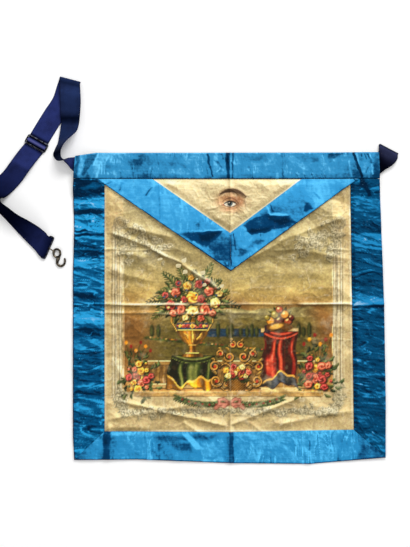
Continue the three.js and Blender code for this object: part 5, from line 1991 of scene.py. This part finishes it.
@dataclass
class Webbing:
    """One run of webbing through its stations, as a closed band with rounded edges.

    The dark places are pairs of a share of its length and how much painted shade it has there; below 0 it
    has a painted highlight instead.
    """

    name: str
    node: str
    stations: tuple[Station, ...]
    finish: WebbingWeave
    dark: Line
    doubled: bool = False
    round_end: bool = True
    steps: int = 9
    across: int = 12
    end_shares: tuple[float, ...] = (0.8, 0.6, 0.42, 0.28, 0.16, 0.08, 0.03, 0)
    length: float = 0.0

    def section(self) -> Array:
        """Points round a section, as shares of the width and of the thickness from its middle.

        Returns:
            The points, a row each.
        """
        top = [(-0.5 + 0.025 + 0.95 * k / self.across, 0.5) for k in range(self.across + 1)]
        if self.doubled:
            upper = [(0.493, 0.42), (0.5, 0.25), (0.49, 0.1)]
            side = [*upper, (0.47, 0), *((u, -v) for u, v in reversed(upper))]
        else:
            side = [(0.493, 0.36), (0.5, 0.0), (0.493, -0.36)]
        half = np.array(top + side)
        return np.concatenate([half, -half, half[:1]])

    def build(self) -> Piece:
        """Builds the band.

        Returns:
            The piece.
        """
        last = len(self.stations) - 1
        shares = np.linspace(0, 1, last * self.steps + 1)
        if self.round_end:
            shares = np.concatenate([shares[:-1], 1 - (1 - shares[-2]) * np.array(self.end_shares)])
        edges = np.array([s.edges() for s in self.stations])
        first, second = (smooth_line(edges[:, side], shares) for side in (0, 1))
        middle, width = (first + second) / 2, first - second
        reach = np.concatenate([[0], np.cumsum(np.linalg.norm(np.diff(middle, axis=0), axis=1))])
        along = np.gradient(middle, reach + np.arange(len(reach)) * 1e-6, axis=0)
        normal = np.cross(along, width)
        normal /= np.linalg.norm(normal, axis=1)[:, None]
        thick = np.interp(shares * last, range(last + 1), [s.thick for s in self.stations])
        if self.round_end:
            left = np.clip((reach[-1] - reach) / (thick / 2), 0, 1)
            thick = thick * np.sqrt(np.clip(1 - (1 - left) ** 2, 0.003, 1))
        section = self.section()
        bm, column, row = lattice(len(shares), len(section))
        u, v = section[row].T
        away = width[column] * u[:, None] + normal[column] * (v * thick[column])[:, None]
        put_points(bm, middle[column] + away)
        face = bm.verts.layers.float.new("face")
        painted_light_and_shade = bm.verts.layers.float.new("painted_light_and_shade")
        flat = bm.loops.layers.uv.new("flat")
        dark_at = np.interp(reach[column] / reach[-1], *np.array(self.dark).T)
        bm.verts.ensure_lookup_table()
        for vert, side, darkness in zip(bm.verts, v, dark_at):
            vert[face] = float(side > 0)
            vert[painted_light_and_shade] = darkness
            for loop in vert.link_loops:
                loop[flat].uv = (reach[column[vert.index]], u[vert.index] + 0.5)
        close_up(bm)
        self.length = float(reach[-1])
        LOG.info("%s is %.0f mm long", self.name, self.length)
        mesh = as_mesh(self.name, bm)
        return finish_piece(self.name, mesh, self.finish.dress(), self.node)


# Painted shade along each run, by share of its length; below 0, as where the long run rolls over the
# slider's middle bar, a painted highlight.
LONG_DARK = (
    (0, 0), (0.1, 0.1), (0.13, 0.6), (0.19, 0.95), (0.22, 0.5), (0.25, 0.15), (0.34, 0.15), (0.365, 0.75),
    (0.385, 0.9), (0.4, 0.55), (0.42, 0.3), (0.48, 0.2), (0.515, 0), (0.545, 0.1), (0.56, 0.6), (0.59, 0.1),
    (0.66, 0), (0.918, 0), (0.93, 0.85), (0.95, 0.9), (0.957, 0.4), (0.963, -0.4), (0.968, -0.7),
    (0.974, -0.2), (0.98, 0.6), (0.986, 1), (1, 1),
)
DOUBLED_DARK = (
    (0, 0.9), (0.01, 0.7), (0.02, 0.15), (0.05, 0), (0.15, 0), (0.17, 0.4), (0.26, 0.5), (0.38, 0.75),
    (0.47, 1), (0.66, 1), (0.8, 0.8), (0.92, 0.5), (1, 0.9),
)
TAB_DARK = (
    (0, 0.5), (0.44, 0.9), (0.48, 0.85), (0.5, 0.25), (0.53, 0.45), (0.58, 0.6), (0.64, 0.9), (0.7, 1),
    (1, 1),
)


@dataclass
class Harness:
    """The strap, which runs from the left corner to the slider and doubled to the hook, and the tab."""

    finish: WebbingWeave
    tab_finish: WebbingWeave
    on_floor: float = 0.9
    doubled: float = 2.8
    fold_width: float = 26.4
    run_angle: float = 150.5
    slider: Point = (-239, 202.5)
    slider_depth: float = 12.4
    rise: tuple[Station, ...] = stations(
        (-176, 176, 0.9, 90, 0, 20), (-191, 176.5, 2.8, 88, -12, 19), (-199.5, 180.5, 9.8, 88, -64, 20),
        (-205, 182, 12.7, 120, -86, 24.5), (-210.4, 183.4, 12.9, 203, -74), (-213, 189.6, 12.8, 196, -65),
        (-210.8, 196.8, 12.8, 194, -65), (-206.8, 203.6, 12.9, 190, -62), (-202.2, 210.8, 12.3, 184, -46),
        (-198.9, 217.4, 11, 181, -31), (-197.2, 226, 9.3, 180, -24), (-197, 237, 7.4, 180, -14),
        (-197, 247, 5.4, 178, -8, 25.8), (-196.8, 255, 6.6, 176, -5, 26), (-197, 263, 7.4, 173, -3, 26),
        (-197.4, 272, 5.6, 169, 0, 26),
    )
    run: tuple[Station, ...] = stations(
        (-201.7, 270.5, 0.9, 162), (-207.3, 254, 0.9, 155), (-217.6, 238, 0.9, 151.5),
    )
    back: tuple[Station, ...] = stations(
        (-246.5, 191.5, 2.4, 150), (-252.7, 183.3, 5, 151), (-257.2, 176.8, 7.4, 152),
        (-261.5, 170.8, 6.6, 150), (-269, 161.2, 3.6, 143), (-278.5, 151.2, 2.6, 138, -3),
        (-287.2, 142, 6.4, 147, -22), (-290.2, 134.2, 10.6, 178, -50), (-286.4, 126.4, 12.4, 212, -66),
        (-276.6, 117.4, 12.2, 220, -62), (-266.4, 108.3, 11.7, 223, -56), (-254.9, 99.2, 9.4, 225, -40),
        (-242.9, 89.4, 6.4, 230, -22), (-233.4, 80.2, 3.6, 240, -8, 26),
    )
    end: Station = Station(-225.9, 73.8, 2.35, 246, 0, 27, 4.2)
    tab_out: tuple[Station, ...] = stations(
        (167, 166, 0.9, 129, 0, 20), (185.5, 177.5, 0.9, 142, 0, 18), (194.8, 186, 0.9, 156, 0, 18),
    )
    tab_back: tuple[Station, ...] = stations(
        (196, 187.6, 5.4, 158, -8, 25), (192.2, 182.4, 5.2, 147, -8, 23.6), (186, 177.5, 4.2, 134, -3, 20.4),
        (177, 172, 3, 120, 0, 22),
    )
    tab_end: Station = Station(164, 165, 2.5, 106, 0, 22, 4)
    lengths: dict[str, float] = field(default_factory=dict)

    def folded(self, place: Point, line: float, radius: float, down: bool) -> list[Station]:
        """Stations round a flat fold.

        Args:
            place: The middle of the fold's line.
            line: The line's angle.
            radius: How tight the fold is.
            down: Whether the webbing goes on underneath.

        Returns:
            The stations.
        """
        start = Station(*place, self.on_floor + radius, line, 0, self.fold_width)
        turns = (spoke(45 * k, radius) for k in range(5))
        return [replace(start.moved(-out), z=start.z + (up if down else -up)) for up, out in turns]

    def threaded(self) -> list[Station]:
        """Stations under the slider's outer bars and over its middle one.

        Returns:
            The stations.
        """
        round_bar, bar_height, low = 2.05, 2.7, self.on_floor
        slant = round_bar * math.sqrt(0.5)
        path = (
            (-12.2, low), (-5.7, low), (-round_bar - 1.3, low + 0.2), (-round_bar, bar_height),
            (-slant, bar_height + slant), (0, bar_height + round_bar), (slant, bar_height + slant),
            (round_bar, bar_height), (round_bar + 1.3, low + 0.2), (6.2, low),
        )
        return [Station(*self.slider, z, self.run_angle).moved(along) for along, z in path]

    def build(self) -> list[Piece]:
        """Builds the three runs of webbing.

        Returns:
            The strap's two runs and the tab.
        """
        long_run = (*self.rise, *self.folded((-197.8, 280), 165.3, 1.7, True), *self.run, *self.threaded())
        start = Station(*self.slider, self.doubled / 2 + 0.1, self.run_angle)
        back = (start.moved(self.slider_depth / 2 + 0.3), *self.back)
        last = (self.end.moved(-4.4), self.end.moved(2.2))
        doubled_run = (*(replace(s, thick=self.doubled) for s in back), *last)
        tab_run = (
            *self.tab_out, *self.folded((196.6, 194.4), 152.4, 1.6, False), *self.tab_back,
            self.tab_end.moved(-4.4), self.tab_end.moved(2.2),
        )
        runs = (
            Webbing("long_strap", "strap_long", long_run, self.finish, LONG_DARK, round_end=False),
            Webbing("doubled_strap", "strap_loop", doubled_run, self.finish, DOUBLED_DARK, doubled=True),
            Webbing("short_strap", "strap_short", tab_run, self.tab_finish, TAB_DARK),
        )
        pieces = [run.build() for run in runs]
        self.lengths.update({run.name: run.length for run in runs})
        return pieces


# The metal


def wire(path: Array, half: Array, square: float, closed: bool, sides: int = 16) -> Shape:
    """A wire along a path that nowhere stands upright.

    Args:
        path: Its middle line, without a repeated last place.
        half: Half its width at each place.
        square: 2 for a round wire, and more for a squarer one.
        closed: Whether its end meets its start.
        sides: Points round it.

    Returns:
        The wire as a closed surface.
    """
    if closed:
        path = np.concatenate([path, path[:1]])
        half = np.concatenate([half, half[:1]])
        around = np.concatenate([path[-2:-1], path, path[1:2]])
        tangent = around[2:] - around[:-2]
    else:
        tangent = np.gradient(path, axis=0)
    side = np.cross(tangent, [0, 0, 1])
    side = side / np.linalg.norm(side, axis=1)[:, None]
    up = np.cross(side, tangent / np.linalg.norm(tangent, axis=1)[:, None])
    bm, column, row = lattice(len(path), sides + 1)
    round_place = spoke(360 / sides * (row % sides))
    across, rise = (np.sign(round_place) * np.abs(round_place) ** (2 / square)).T[:, :, None]
    put_points(bm, path[column] + (side[column] * across + up[column] * rise) * half[column][:, None])
    close_up(bm)
    return bm


def frame_path(length: float, depth: float, corner: float) -> Array:
    """The middle line of a rounded rectangle lying flat, centred on the origin.

    Args:
        length: Its length.
        depth: Its depth.
        corner: Its corners' radius.

    Returns:
        The places, a row each.
    """
    middle = np.array([length / 2 - corner, depth / 2 - corner])
    corners = ((1, 1), (-1, 1), (-1, -1), (1, -1))
    turns = 15 * np.arange(7)
    places = [spoke(90 * k + turns, corner) + middle * signs for k, signs in enumerate(corners)]
    return np.pad(np.concatenate(places), ((0, 0), (0, 1)))


def turn_about(axis: str, degrees: float) -> Matrix:
    """A turn about an axis through the origin."""
    return Matrix.Rotation(math.radians(degrees), 4, axis)


def shift(x: float, y: float, z: float) -> Matrix:
    """A move by lengths in millimetres."""
    return Matrix.Translation(Vector((x, y, z)) * MM)


@dataclass
class Fittings:
    """The metal: the slider, the wire loop at each strap end, the link and the snake hook."""

    finish: WornBronze
    dark_finish: WornBronze
    loop_wire: float = 1.8
    link_size: tuple[float, float] = (10.8, 5.2)
    link_turn: float = -33
    hook_line: tuple[Triple, ...] = (
        (-212.2, 63, 2.9), (-212.1, 60.4, 2.8), (-213.4, 56.6, 2.2), (-213, 52.9, 1.8), (-209.3, 50.7, 1.8),
        (-205.4, 52.4, 1.8), (-203.9, 56, 1.8), (-204.4, 60.8, 2),
    )

    def frame(self, length: float, depth: float, wide: float, corner: float, square: float = 3.2) -> Shape:
        """A flat frame of wire with given outer sizes, centred on the origin."""
        path = frame_path(length - wide, depth - wide, max(corner - wide / 2, 0.4))
        return wire(path, np.full(len(path), wide / 2), square, True)

    def place(self, bm: Shape, *moves: Matrix) -> Shape:
        """Moves a piece by each matrix in turn.

        Args:
            bm: The piece.
            moves: The matrices.

        Returns:
            The moved piece.
        """
        for move in moves:
            bmesh.ops.transform(bm, matrix=move, verts=bm.verts[:])
        return bm

    def piece(self, name: str, node: str, finish: WornBronze, *parts: Shape) -> Piece:
        """Joins parts as one metal piece."""
        return finish_piece(name, as_mesh(name, *parts), finish.dress(), node)

    def end_loop(self, end: Station, length: float, depth: float, tilt: float) -> Shape:
        """A wire loop whose inner wire lies in a strap's thick end.

        Args:
            end: The strap's end.
            length: The loop's outer length.
            depth: Its outer depth.
            tilt: How far its outer wire rises, in degrees.

        Returns:
            The loop.
        """
        inner = end.moved(-2.4)
        return self.place(
            self.frame(length, depth, self.loop_wire, 2.6),
            shift(0, (depth - self.loop_wire) / 2, 0), turn_about("X", tilt), turn_about("Z", end.side),
            shift(inner.x, inner.y, inner.z),
        )

    def build(self, harness: Harness) -> list[Piece]:
        """Builds the metal for a harness.

        Args:
            harness: The harness.

        Returns:
            The pieces.
        """
        seat = turn_about("Z", harness.run_angle), shift(*harness.slider, 2.7)
        bar_path = np.array([(x, 0, 0) for x in np.linspace(-13.6, 13.6, 9)])
        bar = wire(bar_path, np.full(9, 0.85), 2.4, False)
        return [
            self.piece(
                "strap_slider", "slider", self.dark_finish,
                self.place(self.frame(29, 12, 1.6, 2.4), *seat), self.place(bar, *seat),
            ),
            self.piece(
                "wire_loop", "hook_loop", self.dark_finish, self.end_loop(harness.end, 30.4, 7.2, 5.4),
            ),
            self.piece("catch_ring", "catch_loop", self.finish, self.end_loop(harness.tab_end, 30, 12, 0)),
            self.build_link(harness.end),
            self.build_hook(),
        ]

    def build_link(self, end: Station) -> Piece:
        """Builds the small upright link between the loop and the hook.

        Args:
            end: The strap's end.

        Returns:
            The piece.
        """
        length, depth = self.link_size
        loop = end.moved(7.6 - self.loop_wire - 2.4)
        x, y = spoke(self.link_turn, length / 2 - 1 - self.loop_wire / 2 - 0.4)
        link = self.place(
            self.frame(length, depth, 1.1, 2.6, 2),
            turn_about("X", 90), turn_about("Z", self.link_turn), shift(loop.x + x, loop.y + y, 2.8),
        )
        return self.piece("small_link", "hook_link", self.finish, link)

    def build_hook(self) -> Piece:
        """Builds the snake hook: an eye, and a shank that curls round to a rounded point.

        Returns:
            The piece.
        """
        eye = self.place(self.frame(12.6, 11, 2.7, 5.4, 2.4), turn_about("Z", -80), shift(-213.8, 66.7, 2.8))
        shares = np.linspace(0, 1, 45)
        half = 2.45 - 0.9 * smooth(0.12, 0.42, shares) - 0.25 * smooth(0.55, 0.95, shares)
        tip = np.clip((1 - shares) / 0.05, 0, 1)
        half = half * np.sqrt(np.clip(1 - (1 - tip) ** 2, 0.02, 1))
        shank = wire(smooth_line(np.array(self.hook_line), shares), half, 2.2, False)
        return self.piece("snake_hook_wire", "snake_hook", self.finish, eye, shank)


# The studio


def build_studio() -> None:
    """Lays the pale floor, hangs soft lights and sets the camera straight above."""
    scene = bpy.context.scene
    bm = bmesh.new()
    bmesh.ops.create_grid(bm, x_segments=1, y_segments=1, size=3)
    mesh = as_mesh("floor", bm)
    mesh.materials.append(Shader("paper").dressed(
        Base_Color=0xFEFEFE, Roughness=0.9, Specular_IOR_Level=0.1,
        Emission_Strength=0.07, Emission_Color=0xFFFFFF,
    ))
    floor = bpy.data.objects.new("floor", mesh)
    scene.collection.objects.link(floor)
    for name, place, size, power in (
        ("key", (0.6, 1.6, 1.85), 1.3, 36), ("fill", (-1.2, -1.4, 1.8), 1.6, 9),
        ("top", (0.1, 0, 2.8), 1.8, 10),
    ):
        light = bpy.data.lights.new(name, "AREA")
        light.shape = "DISK"
        light.size = size
        light.energy = power
        lamp = bpy.data.objects.new(name, light)
        lamp.location = place
        lamp.rotation_euler = Vector(place).to_track_quat("Z", "Y").to_euler()
        scene.collection.objects.link(lamp)
    scene.world = bpy.data.worlds.new("studio")
    scene.world.use_nodes = True
    sky = scene.world.node_tree.nodes["Background"]
    sky.inputs["Color"].default_value = (1, 1, 1, 1)
    sky.inputs["Strength"].default_value = 0.42
    scene.view_settings.view_transform = "Standard"
    lens = bpy.data.cameras.new("camera")
    sensor, height, shown = 36, 2.2, 0.6783
    lens.lens = sensor * height / shown
    lens.clip_start = 0.05
    camera = bpy.data.objects.new("camera", lens)
    camera.location = (-0.0304, 0.0415, height)
    scene.collection.objects.link(camera)
    scene.camera = camera


def build_apron() -> None:
    """Builds the apron's pieces in order, from the sheet up."""
    lay = Lay()
    satin = PrintedSatin()
    sheet = SatinSheet(lay, satin).build()
    flap = FlapSheet(lay, satin).build()
    # All five are one blue ribbon, and their colours are lit and shaded copies of it: painted shade on the
    # borders that run up the apron, most on the right one, and painted light on those that run across it and
    # on the flap.
    side = RibbonSatin("side_ribbon", 0x001A36, 0x034F7B, 0x28A0D8)
    right = RibbonSatin("right_ribbon", 0x001A36, 0x03466C, 0x1E88BE)
    bottom = RibbonSatin("bottom_ribbon", 0x043C66, 0x2C91C7, 0x5CCCFF)
    band = RibbonSatin("band_ribbon", 0x043A60, 0x3490C2, 0x70D0FC)
    bright = RibbonSatin("flap_ribbon", 0x023862, 0x389ED6, 0x5EC8FA)
    ribbons = RibbonEdging(lay, side, right, bottom, band, bright).build()
    harness = Harness(WebbingWeave(), WebbingWeave("tab_webbing", 0x3C4167, 0x31385F))
    straps = harness.build()
    Fittings(WornBronze(), WornBronze("dark_bronze", 0x4E5260, 0x18171A)).build(harness)


def main() -> None:
    """Builds the apron on its floor."""
    logging.basicConfig(level=logging.INFO, format="%(message)s")
    build_apron()
    build_studio()


if __name__ == "__main__":
    main()
